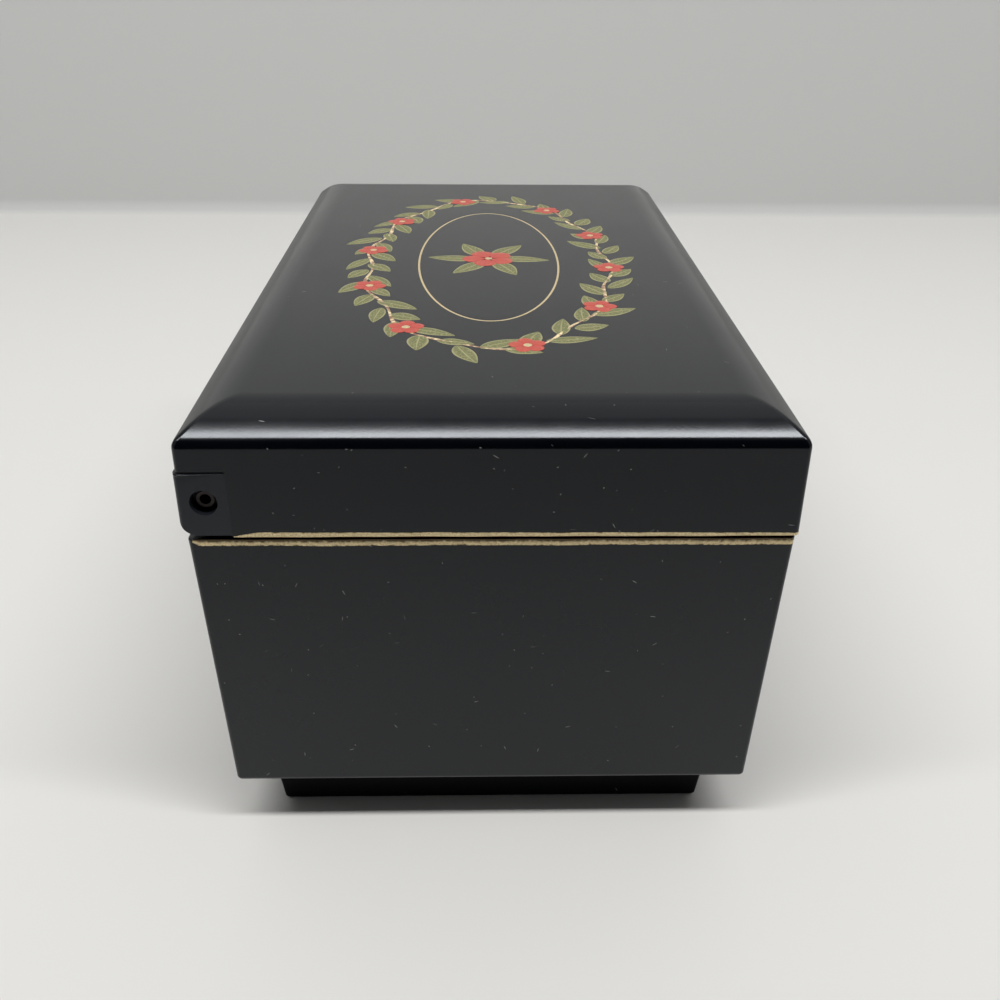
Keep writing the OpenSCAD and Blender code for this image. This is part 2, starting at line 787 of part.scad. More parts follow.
module movement_bedplate() {
  color(zinc) in_movement() difference() {
    union() {
      translate([0, 0, -bed_t]) plate(bed_x0, bed_y0, bed_x1, bed_back, bed_t, bed_corner_r);
      block([upright_a, -bearing_w, -over], [upright_a + upright_t, bearing_w, upright_top]);
      block([upright_b, -bearing_w, -over],
            [upright_b + upright_t, gov_y + gov_bearing_w, upright_top]);
      block([gov_post_x, pin_path_r + fit_gap, -over],
            [gov_post_x + upright_t, gov_y + gov_bearing_w, upright_top]);
      block([drum_x, comb_front_y, -over], [drum_x + drum_len, comb_root_y, comb_z]);
    }
    translate([0, 0, -bed_t - over]) cylinder(h = bed_t + 2 * over, r = arbor_r + run_gap);
    bar_x(upright_a - over, upright_a + upright_t + over, 0, drum_z, drum_arbor_r + run_gap);
    bar_x(upright_b - over, upright_b + upright_t + over, 0, drum_z, drum_arbor_r + run_gap);
    bar_x(gov_post_x - over, upright_b + upright_t + over, gov_y, drum_z, gov_arbor_r + run_gap);
    for (p = bed_screws)
      translate([p[0], p[1], -bed_t - over]) cylinder(h = bed_t + 2 * over, r = screw_r);
    for (x = comb_screw_x)
      translate([x, comb_screw_y, 0]) cylinder(h = comb_z + over, r = comb_screw_r);
  }
}

module movement_screws() {
  color(steel)
    for (p = bed_screws)
      translate([move_x + p[0], move_y + p[1], z_body])
        screw(floor_t + boss_h + bed_t, screw_r, head_r, head_h);
}

module spring_can() {
  color(steel) in_movement() difference() {
    cylinder(h = can_h, r = can_r);
    translate([0, 0, -over]) cylinder(h = can_h - can_t + over, r = can_r - can_t);
    cylinder(h = can_h + over, r = arbor_r + run_gap);
  }
}

// A flat strip wound in an even spiral between the arbor and the can
module mainspring() {
  r0 = arbor_r + fit_gap;
  r1 = can_r - can_t - fit_gap - strip_t;
  steps = 24 * strip_turns;
  inner = [for (i = [0:steps]) [r0 + (r1 - r0) * i / steps, 15 * i]];
  outer = [for (i = [steps:-1:0]) [strip_t + r0 + (r1 - r0) * i / steps, 15 * i]];
  color(steel) in_movement() translate([0, 0, fit_gap]) linear_extrude(strip_h)
    polygon([for (p = concat(inner, outer)) [p[0] * cos(p[1]), p[0] * sin(p[1])]]);
}

module comb() {
  first_x = drum_x + comb_pitch;
  color(steel) in_movement() difference() {
    union() {
      block([drum_x, comb_front_y, comb_z], [drum_x + drum_len, comb_root_y, comb_z + comb_t]);
      for (i = [0:comb_notes - 1])
        block([first_x + i * comb_pitch - comb_tooth_w / 2, comb_root_y - over,
               drum_z - comb_tooth_t / 2],
              [first_x + i * comb_pitch + comb_tooth_w / 2, comb_tip_y,
               drum_z + comb_tooth_t / 2]);
    }
    for (x = comb_screw_x)
      translate([x, comb_screw_y, comb_z - over])
        cylinder(h = comb_t + 2 * over, r = comb_screw_r + screw_gap);
  }
}

module comb_screws() {
  shank = comb_t + comb_z - fit_gap;
  color(brass) in_movement()
    for (x = comb_screw_x)
      translate([x, comb_screw_y, comb_z + comb_t]) mirror([0, 0, 1])
        screw(shank, comb_screw_r, comb_head_r, head_h);
}

// The post, foot and arm that hold the worm shaft at both ends
module governor_bracket() {
  half = bearing_w / 2;
  y1 = bracket_y + bracket_t;
  color(zinc) in_movement() difference() {
    union() {
      block([worm_x - half, bracket_y, 0], [worm_x + half, y1, bracket_z + bracket_t]);
      block([worm_x - half, fly_y - half, 0], [worm_x + half, y1, foot_h]);
      block([worm_x - half, fly_y - half, bracket_z], [worm_x + half, y1, bracket_z + bracket_t]);
    }
    translate([worm_x, fly_y, foot_h / 2])
      cylinder(h = bracket_z + 2 * bracket_t, r = fly_shaft_r + run_gap);
  }
}

module rod_guide_lower() {
  color(brass) in_movement() translate([rod_x, rod_y, 0]) difference() {
    cylinder(h = guide_h, r = guide_r);
    translate([0, 0, -over]) cylinder(h = guide_h + 2 * over, r = rod_r + run_gap);
  }
}

module rod_guide_upper() {
  color(brass) translate([move_x + rod_x, move_y + rod_y, z_deck]) difference() {
    union() {
      cylinder(h = deck_t, r = guide_r);
      translate([0, 0, deck_t]) cylinder(h = flange_h, r = guide_r + flange_h);
    }
    translate([0, 0, -over]) cylinder(h = deck_t + flange_h + 2 * over, r = rod_r + run_gap);
  }
}

module winding_arbor() {
  low = z_body - key_gap - key_wing_h - move_z;
  color(steel) in_movement() translate([0, 0, low])
    cylinder(h = crown_root_z + 2 * crown_t - low, r = arbor_r);
}

// A crown wheel: a disc over the spring can with its teeth pointing down
module great_wheel() {
  half = tooth_share * PI * crown_mod / 2;
  depth = (addendum + dedendum) * crown_mod;
  sink = crown_t / 4;
  color(brass) in_movement() difference() {
    union() {
      translate([0, 0, crown_root_z]) cylinder(h = crown_t, r = crown_r + crown_face / 2);
      translate([0, 0, can_h + fit_gap])
        cylinder(h = crown_root_z + 2 * crown_t - can_h - fit_gap, r = 2 * arbor_r);
      for (i = [0:crown_n - 1])
        rotate([0, 0, 360 * (i + 0.5) / crown_n])
          translate([0, 0, crown_root_z])
            along_x(crown_r - crown_face / 2, crown_r + crown_face / 2 - fit_gap)
              polygon([[-root_k * half, sink], [-root_k * half, 0], [-tip_k * half, -depth],
                       [tip_k * half, -depth], [root_k * half, 0], [root_k * half, sink]]);
    }
    translate([0, 0, can_h]) cylinder(h = crown_root_z + 2 * crown_t, r = arbor_r);
    for (a = [45:90:315])
      rotate([0, 0, a]) translate([crown_r / 2 + arbor_r / 2, 0, crown_root_z - over])
        cylinder(h = crown_t + 2 * over, r = crown_r / 6);
  }
}

// A hub with two round wings, one eye in each
module winding_key() {
  lobe = key_wing_h / 2;
  lobe_x = key_span / 2 - lobe;
  top = z_body - key_gap;
  wing_z = top - key_gap - lobe;
  low = wing_z - lobe;
  color(brass) translate([move_x, move_y, 0]) difference() {
    union() {
      translate([0, 0, low]) cylinder(h = top - low, r = key_hub_r);
      translate([0, 0, wing_z]) along_y(-key_t / 2, key_t / 2) difference() {
        union() {
          for (x = [-lobe_x, lobe_x])
            translate([x, 0]) circle(lobe);
          square([2 * lobe_x, key_wing_h], center = true);
        }
        for (x = [-lobe_x, lobe_x])
          translate([x, 0]) circle(key_eye_r);
      }
    }
    translate([0, 0, top - key_wing_h]) cylinder(h = key_wing_h + over, r = arbor_r);
  }
}

// The drum with its pins, spread round each track by the golden angle
module tune_cylinder() {
  golden = 137.508;
  root = 0.4;
  color(brass) in_movement() translate([drum_x, 0, drum_z]) rotate([0, 90, 0]) difference() {
    union() {
      cylinder(h = drum_len, r = drum_r);
      for (i = [0:comb_notes - 1])
        for (j = [0:pins_per_track - 1])
          rotate([0, 0, golden * (i * pins_per_track + j)])
            translate([drum_r - root, 0, (i + 1) * comb_pitch]) rotate([0, 90, 0])
              cylinder(h = root + pin_h, r = tune_pin_r, $fn = 6);
    }
    translate([0, 0, -over]) cylinder(h = drum_len + 2 * over, r = drum_arbor_r);
  }
}

module cylinder_arbor() {
  color(steel) in_movement()
    bar_x(crown_r - pinion_len / 2, upright_b + upright_t, 0, drum_z, drum_arbor_r);
}

module cylinder_pinion() {
  color(brass) in_movement()
    wheel_x_axis(crown_r - pinion_len / 2, 0, pinion_len, pinion_n, crown_mod, 90, drum_arbor_r);
}

module cylinder_wheel() {
  color(brass) in_movement()
    wheel_x_axis(wheel_x, 0, wheel_t, wheel_n, fine_mod, 0, drum_arbor_r);
}

module governor_arbor() {
  color(steel) in_movement()
    bar_x(gov_post_x, upright_b + upright_t, gov_y, drum_z, gov_arbor_r);
}

module governor_pinion() {
  color(brass) in_movement()
    wheel_x_axis(wheel_x - wheel_gap / 2, gov_y, wheel_t + wheel_gap, leaf_n, fine_mod,
                 180 + 180 / leaf_n, gov_arbor_r);
}

module worm_wheel() {
  color([0.93, 0.92, 0.88]) in_movement()
    wheel_x_axis(worm_wheel_x, gov_y, wheel_t, worm_n, fine_mod, 180 / worm_n, gov_arbor_r);
}

// A right-hand worm with one thread; its crest faces the worm wheel at the axis height
worm_core_r = worm_r - dedendum * fine_mod;
worm_section = concat(
  [for (a = [-45, 0, 45]) [worm_tip_r, a]],
  [for (a = [80:50:280]) [worm_core_r, a]]
);
function worm_ring(z) = [
  for (p = worm_section)
    let (a = p[1] - 90 + 360 * (z - drum_z) / worm_lead)
    [p[0] * cos(a), p[0] * sin(a), z]
];
module worm_shaft() {
  pivot_z = foot_h / 2 + run_gap;
  steps = ceil(12 * worm_len / worm_lead);
  color(steel) in_movement() translate([worm_x, fly_y, 0]) {
    translate([0, 0, pivot_z])
      cylinder(h = bracket_z + bracket_t - pivot_z, r = fly_shaft_r);
    skin([for (i = [0:steps]) worm_ring(drum_z + worm_len * (i / steps - 0.5))]);
  }
}

module fly_vane() {
  color([0.93, 0.92, 0.88]) in_movement() translate([worm_x, fly_y, fly_z]) difference() {
    union() {
      block([-fly_r, -fly_t / 2, 0], [fly_r, fly_t / 2, fly_h]);
      cylinder(h = fly_h, r = 2 * fly_shaft_r + fly_t / 2);
    }
    translate([0, 0, -over]) cylinder(h = fly_h + 2 * over, r = fly_shaft_r);
  }
}

module stop_rod() {
  color(steel) in_movement() translate([rod_x, rod_y, 0]) {
    translate([0, 0, rod_foot]) cylinder(h = rod_top - rod_foot, r = rod_r);
    translate([0, 0, fly_z]) cylinder(h = collar_h, r = collar_r);
  }
}

// A ring of points across a round wire that is wound along Z, at angle a and height z
function coil_ring(a, z) = [
  for (k = [0:5])
    let (r = spring_r + wire_r * cos(60 * k))
    [r * cos(a), r * sin(a), z - wire_r * sin(60 * k)]
];
module rod_spring() {
  steps = 8 * curls;
  z0 = guide_h + wire_r;
  rise = fly_z - wire_r - z0;
  echo(spring_gap = rise / curls - 2 * wire_r);
  color(steel) in_movement() translate([rod_x, rod_y, 0])
    skin([for (i = [0:steps]) coil_ring(45 * i, z0 + rise * i / steps)]);
}

// Outer form of the lid: drafted wall, round shoulder, the arc of the bevel and flat top
module lid_outer() {
  levels = concat(
    [[0, z_lid]],
    [for (k = [0:edge_steps])
      let (a = (90 - bevel_turn) * k / edge_steps)
      [lid_flare + shoulder_r * (1 - cos(a)), shoulder_z + shoulder_r * sin(a)]],
    [for (k = [bevel_steps - 1:-1:0])
      let (a = bevel_turn * k / bevel_steps)
      [lid_flare + bevel_w - bevel_arc_r * sin(a), z_top - bevel_arc_r * (1 - cos(a))]]
  );
  loft(lid_hx, lid_hy, levels, corner_r);
}
module lid_cavity() {
  levels = [
    [lid_t - lid_flare, z_lid - over],
    [lid_t + lid_flare, z_shoulder - lid_t],
    [lid_flare + bevel_w, z_ceiling]
  ];
  loft(lid_hx, lid_hy, levels, corner_r);
}

// Cuts the rear lower edge to a round, this gap above the lid rim, so that it swings clear of the case;
// the edge may stand out behind the lid
module swing_cut(gap, proud = 0) {
  low = z_lid + gap;
  round_y = back_y + proud - swing_r;
  along_x(-lid_hx - over, lid_hx + over) difference() {
    translate([round_y, z_lid - over]) square([swing_r + over, low + swing_r - z_lid + over]);
    translate([round_y, low + swing_r]) circle(swing_r);
  }
  block([-lid_hx - over, back_y - block_dep, z_lid - over], [lid_hx + over, lid_hy + over, low]);
}

// Space in the lid's rear corner for a hinge block and the post beside it
module hinge_notch(x0) {
  block([x0, back_y - block_dep, z_lid - over], [lid_hx + over, lid_hy + over, axis_z + block_rise]);
}

module lid_shell() {
  color(black_plastic) difference() {
    lid_outer();
    lid_cavity();
    swing_cut(swing_gap);
    hinge_notch(notch_x);
    mirror([1, 0, 0]) hinge_notch(notch_x);
  }
}

// Ring across the seam bead, at an angle round the corner and this far past it along the seam
function bead_ring(a, past, r) = [
  for (k = [0:bead_steps - 1])
    let (t = 360 * k / bead_steps, out = corner_r + r * cos(t))
    [bead_x + out * cos(a) - past * sin(a), bead_y + out * sin(a) + past * cos(a), bead_z - r * sin(t)]
];
module seam_bead() {
  skin(concat(
    [bead_ring(0, -bead_reach, bead_tip_r)],
    [for (k = [0:edge_steps]) bead_ring(90 * k / edge_steps, 0, bead_r)],
    [bead_ring(90, bead_x - block_x, bead_tip_r)]
  ));
}

module hinge_block() {
  seam_bead();
  difference() {
    intersection() {
      translate([0, block_proud, 0]) lid_outer();
      hinge_notch(block_x);
    }
    swing_cut(block_gap, block_proud);
    bar_x(block_x - over, lid_hx + over, axis_y, axis_z, pin_r + run_gap);
    bar_x(end_x - eye_depth, lid_hx + over, axis_y, axis_z, eye_r);
  }
}
module hinge_block_right() {
  color(black_plastic) hinge_block();
}
module hinge_block_left() {
  color(black_plastic) mirror([1, 0, 0]) hinge_block();
}

module lid_lining() {
  color(red_velvet) translate([0, 0, z_lining])
    plate(-lining_hx, -lining_hy, lining_hx, lining_hy, lid_lining_t, corner_r);
}

module mirror_frame() {
  hx = mirror_len / 2;
  hy = mirror_dep / 2;
  color(brass) translate([0, 0, z_lining - frame_t]) difference() {
    plate(-hx - frame_w, -hy - frame_w, hx + frame_w, hy + frame_w, frame_t, corner_r);
    translate([0, 0, -over])
      plate(-hx + frame_lap, -hy + frame_lap, hx - frame_lap, hy - frame_lap,
            frame_t + 2 * over, corner_r);
    translate([0, 0, frame_lip])
      plate(-hx - fit_gap, -hy - fit_gap, hx + fit_gap, hy + fit_gap, frame_t, corner_r);
  }
}

module mirror_glass() {
  color([0.75, 0.8, 0.84]) translate([0, 0, z_lining - mirror_t])
    plate(-mirror_len / 2, -mirror_dep / 2, mirror_len / 2, mirror_dep / 2, mirror_t, corner_r);
}

box_body();
base_plinth();
plinth_screws();
hinge_pin_left();
hinge_pin_right();
lining_front();
lining_back();
lining_left();
lining_right();
floor_pad();
end_partition();
cross_divider();
deck_cleats();
ring_deck();
ring_roll_1();
ring_roll_2();
ring_roll_3();
ring_roll_4();
movement_window();
movement_bedplate();
movement_screws();
spring_can();
mainspring();
comb();
comb_screws();
governor_bracket();
rod_guide_lower();
rod_guide_upper();
winding_arbor();
great_wheel();
winding_key();
tune_cylinder();
cylinder_arbor();
cylinder_pinion();
cylinder_wheel();
governor_arbor();
governor_pinion();
worm_wheel();
worm_shaft();
fly_vane();
stop_rod();
rod_spring();
lid_shell();
hinge_block_left();
hinge_block_right();
lid_lining();
mirror_glass();
mirror_frame();
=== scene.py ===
"""Looks of a musical jewelry box: black moulded case and lid, gilt lines, a painted garland,
velvet compartments and a wound cylinder movement under a clear cover.

Sizes are metres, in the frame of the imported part: +X along the box, -Y its front, +Z up.
"""
import math

import bmesh
import bpy
import numpy as np
from bpy.props import FloatProperty, FloatVectorProperty, IntProperty, PointerProperty
from bpy.types import Operator, Panel, PropertyGroup
from mathutils import Matrix, Vector


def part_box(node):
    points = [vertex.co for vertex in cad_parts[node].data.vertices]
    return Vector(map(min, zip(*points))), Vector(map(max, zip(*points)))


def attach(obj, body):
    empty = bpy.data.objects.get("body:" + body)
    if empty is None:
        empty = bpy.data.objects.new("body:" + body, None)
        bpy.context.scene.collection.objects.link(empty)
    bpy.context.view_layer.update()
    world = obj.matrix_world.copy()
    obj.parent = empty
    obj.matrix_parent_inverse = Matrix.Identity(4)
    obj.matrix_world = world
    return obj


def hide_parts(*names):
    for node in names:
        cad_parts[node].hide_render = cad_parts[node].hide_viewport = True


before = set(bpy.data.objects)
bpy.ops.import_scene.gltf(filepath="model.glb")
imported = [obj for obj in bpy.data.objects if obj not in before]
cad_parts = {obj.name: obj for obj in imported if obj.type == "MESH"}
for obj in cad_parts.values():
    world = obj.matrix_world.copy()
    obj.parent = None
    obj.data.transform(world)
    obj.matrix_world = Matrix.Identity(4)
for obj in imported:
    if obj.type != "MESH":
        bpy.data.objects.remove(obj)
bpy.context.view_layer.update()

bl_info = {
    "name": "Musical jewelry box",
    "version": (1, 0, 0),
    "blender": (4, 5, 0),
    "location": "3D View > Sidebar > Jewelry box",
    "description": "Dresses the packed musical jewelry box with shells, paint, velvet and metal",
    "category": "Object",
}

MM = 0.001
# Room for gilding and paint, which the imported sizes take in
FILM = 0.03 * MM
RELIEF = 0.16 * MM
# How far a cutting tool runs past what it cuts
PAST = 1.0 * MM
# Places of the movement's screws from its winding arbor, along X and Y
MOVEMENT_SCREWS = MM * np.array([[-10.0, -17.0], [30.8, -17.0], [21.0, 10.0]])
# Radius of the glue on a hinge block's seam, as pairs: share of the way to the corner's end, share of
# the full radius
GLUE_SWELL = ((0.0, 0.02), (0.12, 0.1), (0.5, 0.28), (0.85, 0.9), (1.1, 1.0), (1.6, 0.4))

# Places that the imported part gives
LID_LOW, LID_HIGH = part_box("lid_shell")
BODY_LOW, BODY_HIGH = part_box("box_body")
_, PLINTH_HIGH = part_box("base_plinth")
PIN_LOW, PIN_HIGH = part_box("hinge_pin_right")
ARBOR_LOW, ARBOR_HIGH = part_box("winding_arbor")
LID_HALF = (LID_HIGH.x - FILM, -LID_LOW.y - FILM)
LID_TOP = LID_HIGH.z - RELIEF
RIM_HALF = (BODY_HIGH.x, -BODY_LOW.y)
PLINTH_HALF = (PLINTH_HIGH.x, PLINTH_HIGH.y)
AXIS_Y = (PIN_LOW.y + PIN_HIGH.y) / 2
AXIS_Z = (PIN_LOW.z + PIN_HIGH.z) / 2
ARBOR_X = (ARBOR_LOW.x + ARBOR_HIGH.x) / 2
ARBOR_Y = (ARBOR_LOW.y + ARBOR_HIGH.y) / 2


def length(name, description, millimetres):
    """A size property, given in millimetres and kept in metres."""
    return FloatProperty(name=name, description=description, default=millimetres * MM,
                         unit="LENGTH", precision=5)


def place(name, description, *millimetres):
    """A place property, given in millimetres and kept in metres."""
    return FloatVectorProperty(name=name, description=description, size=3, unit="LENGTH", precision=5,
                               default=[value * MM for value in millimetres])


def turn(name, description, degrees):
    """An angle property, given in degrees."""
    return FloatProperty(name=name, description=description, default=math.radians(degrees),
                         subtype="ANGLE")


def number(name, description, value):
    """A plain number."""
    return FloatProperty(name=name, description=description, default=value)


def count(name, description, value):
    """A whole number of like things."""
    return IntProperty(name=name, description=description, default=value, min=1)


def colour(name, description, red, green, blue):
    """A colour property in linear light."""
    return FloatVectorProperty(name=name, description=description, subtype="COLOR", size=3,
                               min=0.0, max=1.0, default=(red, green, blue))


class CaseSizes(PropertyGroup):
    """Sizes of the moulded case and its hinge posts."""
    wall: length("Wall", "Thickness of the case walls", 3.0)
    floor: length("Floor", "Thickness of the case floor", 3.0)
    taper: length("Taper", "How far the walls lean in from the rim to the underside", 1.2799)
    corner: length("Corner", "Radius of the upright corners", 0.8)
    edge: length("Bottom edge", "Radius of the bottom edge", 1.2)
    rim_gap: length("Rim gap", "Gap between the rims of case and lid", 0.6)
    rim_round: length("Rim round", "Radius that breaks the edges of a rim", 0.25)
    post_length: length("Post length", "Length of a hinge post along X", 6.8)
    post_radius: length("Post radius", "Radius of the round top of a hinge post", 3.4)
    post_drop: length("Post drop", "How far a hinge post runs down inside the case", 14.0)
    boss_radius: length("Boss radius", "Radius of the bosses under the movement", 4.0)
    boss_height: length("Boss height", "Height of the bosses under the movement", 2.0)
    arbor_hole: length("Arbor hole", "Radius of the hole for the winding arbor", 2.6)
    screw_hole: length("Screw hole", "Radius of the movement's screw holes", 1.5)


class LidSizes(PropertyGroup):
    """Sizes of the lid moulding and its hinge blocks."""
    thickness: length("Thickness", "Thickness of the lid walls and top", 2.6)
    wall_height: length("Wall height", "Height from the rim to the shoulder line", 17.4)
    flare: length("Flare", "How far the rim stands out past the shoulder", 0.1913)
    bevel_width: length("Bevel width", "Width of the bevel in plan", 10.0)
    bevel_radius: length("Bevel radius", "Radius of the lower part of the bevel", 28.0)
    crown_slope: turn("Crown slope", "Slope where the bevel's upper arc ends", 33.0)
    bevel_slope: turn("Bevel slope", "Slope where the bevel runs into the shoulder", 39.5)
    shoulder: length("Shoulder", "Radius that rounds the shoulder", 2.4)
    block_depth: length("Block depth", "Reach of a hinge block forward from the back", 8.1)
    block_length: length("Block length", "Length of a hinge block along X", 7.0)
    block_rise: length("Block rise", "Rise of a hinge block above the axis", 5.65)
    block_gap: length("Block gap", "Height of a hinge block's underside above the rim", 0.4)
    block_proud: length("Block proud", "How far a hinge block stands out behind the lid", 0.4)
    axis_in: length("Axis in", "Distance of the hinge axis from the back face", 4.1)
    side_gap: length("Side gap", "Gap beside a hinge post", 0.3)
    swing: length("Swing round", "Radius of the rear lower edge", 3.0)
    swing_gap: length("Swing gap", "Height of the rear lower edge above the rim", 0.36)
    pin_bore: length("Pin bore", "Radius of the bore for a hinge pin", 1.55)
    eye: length("Eye", "Radius of the eye round a pin end", 2.3)
    eye_depth: length("Eye depth", "Depth of that eye", 2.4)
    crack: length("Crack", "Open seam over a hinge block", 0.28)
    glue: length("Glue", "Radius of the bead of glue under a block's top seam", 0.45)


class PlinthSizes(PropertyGroup):
    """Sizes of the recessed plinth."""
    wall: length("Wall", "Thickness of the plinth frame", 4.0)
    taper: length("Taper", "How far the sides lean in from top to bottom", 1.0499)
    edge: length("Bottom edge", "Radius of the bottom edge", 0.8)
    screw_in: length("Screw inset", "Distance of the screws from the outer faces", 9.0)
    boss: length("Boss", "Radius of the screw bosses", 5.0)
    shank_hole: length("Shank hole", "Radius of the screw holes", 1.5)
    head_hole: length("Head hole", "Radius of the holes for the screw heads", 2.9)
    seat: length("Seat", "Height of the screw heads' seat", 5.0)


class LineSizes(PropertyGroup):
    """Sizes of the gilt lines on the two rims."""
    lid_line: length("Lid line", "Width of the line on the lid", 0.72)
    case_line: length("Case line", "Width of the line on the case", 1.16)
    waver: length("Waver", "How far the edges of a line wander", 0.06)
    drift: length("Drift", "How far a line slowly widens and narrows", 0.14)
    felt: length("Felt", "Thickness of the red felt on the case's rim", 0.12)
    felt_in: length("Felt inset", "Distance of that felt from the outer face", 0.5)


class GarlandSizes(PropertyGroup):
    """Sizes of the painted garland on the lid."""
    half_long: length("Half length", "Half length of the oval along X", 58.0)
    half_deep: length("Half depth", "Half depth of the oval along Y", 27.5)
    leaves: count("Leaves", "Leaves round the oval", 62)
    leaf_long: length("Leaf length", "Length of a leaf", 9.6)
    leaf_wide: length("Leaf width", "Half width of a leaf", 1.95)
    flowers: count("Flowers", "Flowers round the oval", 10)
    petal_long: length("Petal length", "Length of a petal", 3.3)
    petal_wide: length("Petal width", "Half width of a petal", 1.5)
    paint: length("Paint", "Thickness of one coat of paint", 0.05)
    stem: length("Stem", "Half width of the stem", 0.36)


class SoftSizes(PropertyGroup):
    """Sizes of the padded and velvet-covered pieces."""
    edge: length("Edge", "Radius of velvet folded over a panel's edge", 0.45)
    gather: number("Gather", "Depth of the gathers at a roll's ends, against its radius", 0.035)
    dent: number("Dent", "Depth of the soft dents along a roll, against its radius", 0.03)


class Colours(PropertyGroup):
    """Colours of the finishes, in linear light."""
    plastic: colour("Plastic", "Black moulded plastic", 0.0015, 0.0019, 0.0033)
    block: colour("Hinge block", "Plastic of the hinge blocks", 0.0105, 0.0114, 0.0158)
    scuff: colour("Scuff", "Scratches in the plastic", 0.30, 0.30, 0.29)
    plinth: colour("Plinth", "Plinth plastic", 0.001, 0.001, 0.0014)
    gilt: colour("Gilt", "Gilt lines", 0.92, 0.75, 0.44)
    # Rubbed gilding, and also the painted shadow line along the upper edge of the lid's gilt line
    gilt_worn_and_shade: colour("Worn gilt", "Gilding that is rubbed thin", 0.09, 0.062, 0.03)
    leaf: colour("Leaf", "Painted leaves", 0.16, 0.165, 0.062)
    leaf_rim: colour("Leaf rim", "Gilt edges and veins of the leaves", 0.42, 0.40, 0.20)
    flower: colour("Flower", "Painted petals", 0.50, 0.065, 0.045)
    flower_pale: colour("Pale petal", "Lighter brush marks on the petals", 0.70, 0.19, 0.13)
    stem: colour("Stem", "Painted stems", 0.27, 0.145, 0.09)
    velvet: colour("Velvet", "Red velvet", 0.20, 0.010, 0.018)
    velvet_pile: colour("Velvet pile", "Brushed velvet pile", 0.34, 0.022, 0.035)
    brass: colour("Brass", "Brass", 0.80, 0.58, 0.26)
    steel: colour("Steel", "Bright steel", 0.60, 0.61, 0.63)
    dark_steel: colour("Dark steel", "Blackened steel", 0.05, 0.042, 0.042)
    zinc: colour("Zinc", "Cast zinc", 0.45, 0.45, 0.47)
    nylon: colour("Nylon", "White nylon", 0.78, 0.76, 0.70)
    glass: colour("Mirror", "Silvered glass", 0.86, 0.88, 0.88)
    floor: colour("Floor", "Floor of the stage", 0.735, 0.726, 0.702)
    backdrop: colour("Backdrop", "Backdrop of the stage", 0.59, 0.59, 0.58)
    card: colour("Card", "Grey cards beside the far end", 0.48, 0.48, 0.47)


class StageSizes(PropertyGroup):
    """Camera, lamps, cards and floor."""
    lens: FloatProperty(name="Lens", description="Focal length on a 36 mm sensor", default=36.062,
                        unit="CAMERA")
    camera: place("Camera", "Place of the camera", -230.75, 2.555, 156.84)
    pitch: turn("Pitch", "How far the camera looks down", 29.5235)
    yaw: turn("Yaw", "How far the camera turns towards the front of the box", 1.4356)
    roll: turn("Roll", "Tilt of the camera", 0.5648)
    lamp: place("Lamp", "Place of the soft lamp over the near end", -303.0, 0.0, 1000.0)
    lamp_across: length("Lamp across", "Size of that lamp along X", 105.0)
    lamp_along: length("Lamp along", "Size of that lamp along Y", 1600.0)
    lamp_power: number("Lamp power", "Power of that lamp in watts", 11.2)
    fill: place("Fill", "Place of the dim panel over the box", 460.0, 0.0, 1100.0)
    fill_across: length("Fill across", "Size of the panel along X", 1080.0)
    fill_along: length("Fill along", "Size of the panel along Y", 1600.0)
    fill_power: number("Fill power", "Power of the panel in watts", 2.7)
    sky: number("Sky", "Radiance of the surroundings", 0.25)
    flag_x: length("Flag", "Place along X of the dark card behind the camera", -380.0)
    flag_high: length("Flag height", "Height of the dark card", 500.0)
    flag_half: length("Flag half width", "Half the width of the dark card", 300.0)
    flap: length("Flap", "Reach of the flap on the card's top towards the box", 140.0)
    flap_half: length("Flap half width", "Half the width of that flap", 130.0)
    side_x: length("Side cards", "Place along X of the grey cards beside the far end", 125.0)
    side_near: length("Side card near", "Distance of a grey card's inner edge from the middle", 46.0)
    side_far: length("Side card far", "Distance of a grey card's outer edge from the middle", 400.0)
    side_high: length("Side card height", "Height of the grey cards", 89.0)
    backdrop_x: length("Backdrop", "Distance of the backdrop behind the box", 420.0)


# Surfaces

def ring(half_x, half_y, height, corner, steps=10):
    """Rounded rectangles, one a row: a point at angle a of corner k lies at the corner's centre plus
    the radius times (cos a, sin a), and straight sides join the corners."""
    quarter = np.linspace(0.0, np.pi / 2, steps + 1)
    angle = np.concatenate([quarter + k * np.pi / 2 for k in range(4)])
    sign_x = np.repeat([1, -1, -1, 1], steps + 1)
    sign_y = np.repeat([1, 1, -1, -1], steps + 1)
    half_x, half_y, height = (np.atleast_1d(a)[:, None] for a in (half_x, half_y, height))
    x = sign_x * (half_x - corner) + corner * np.cos(angle)
    y = sign_y * (half_y - corner) + corner * np.sin(angle)
    return np.stack([x, y, np.broadcast_to(height, x.shape)], -1)


def arc(centre, radius, start, end, steps=10):
    """Points of a section on a circle, from the angle start to end in degrees."""
    angle = np.radians(np.linspace(start, end, steps + 1))
    return np.stack([centre[0] + radius * np.cos(angle), centre[1] + radius * np.sin(angle)], -1)


def circle(centre, radius, sides=48):
    """Points of a whole circle, counter-clockwise and evenly spaced."""
    return arc(centre, radius, 0, 360 - 360 / sides, sides - 1)


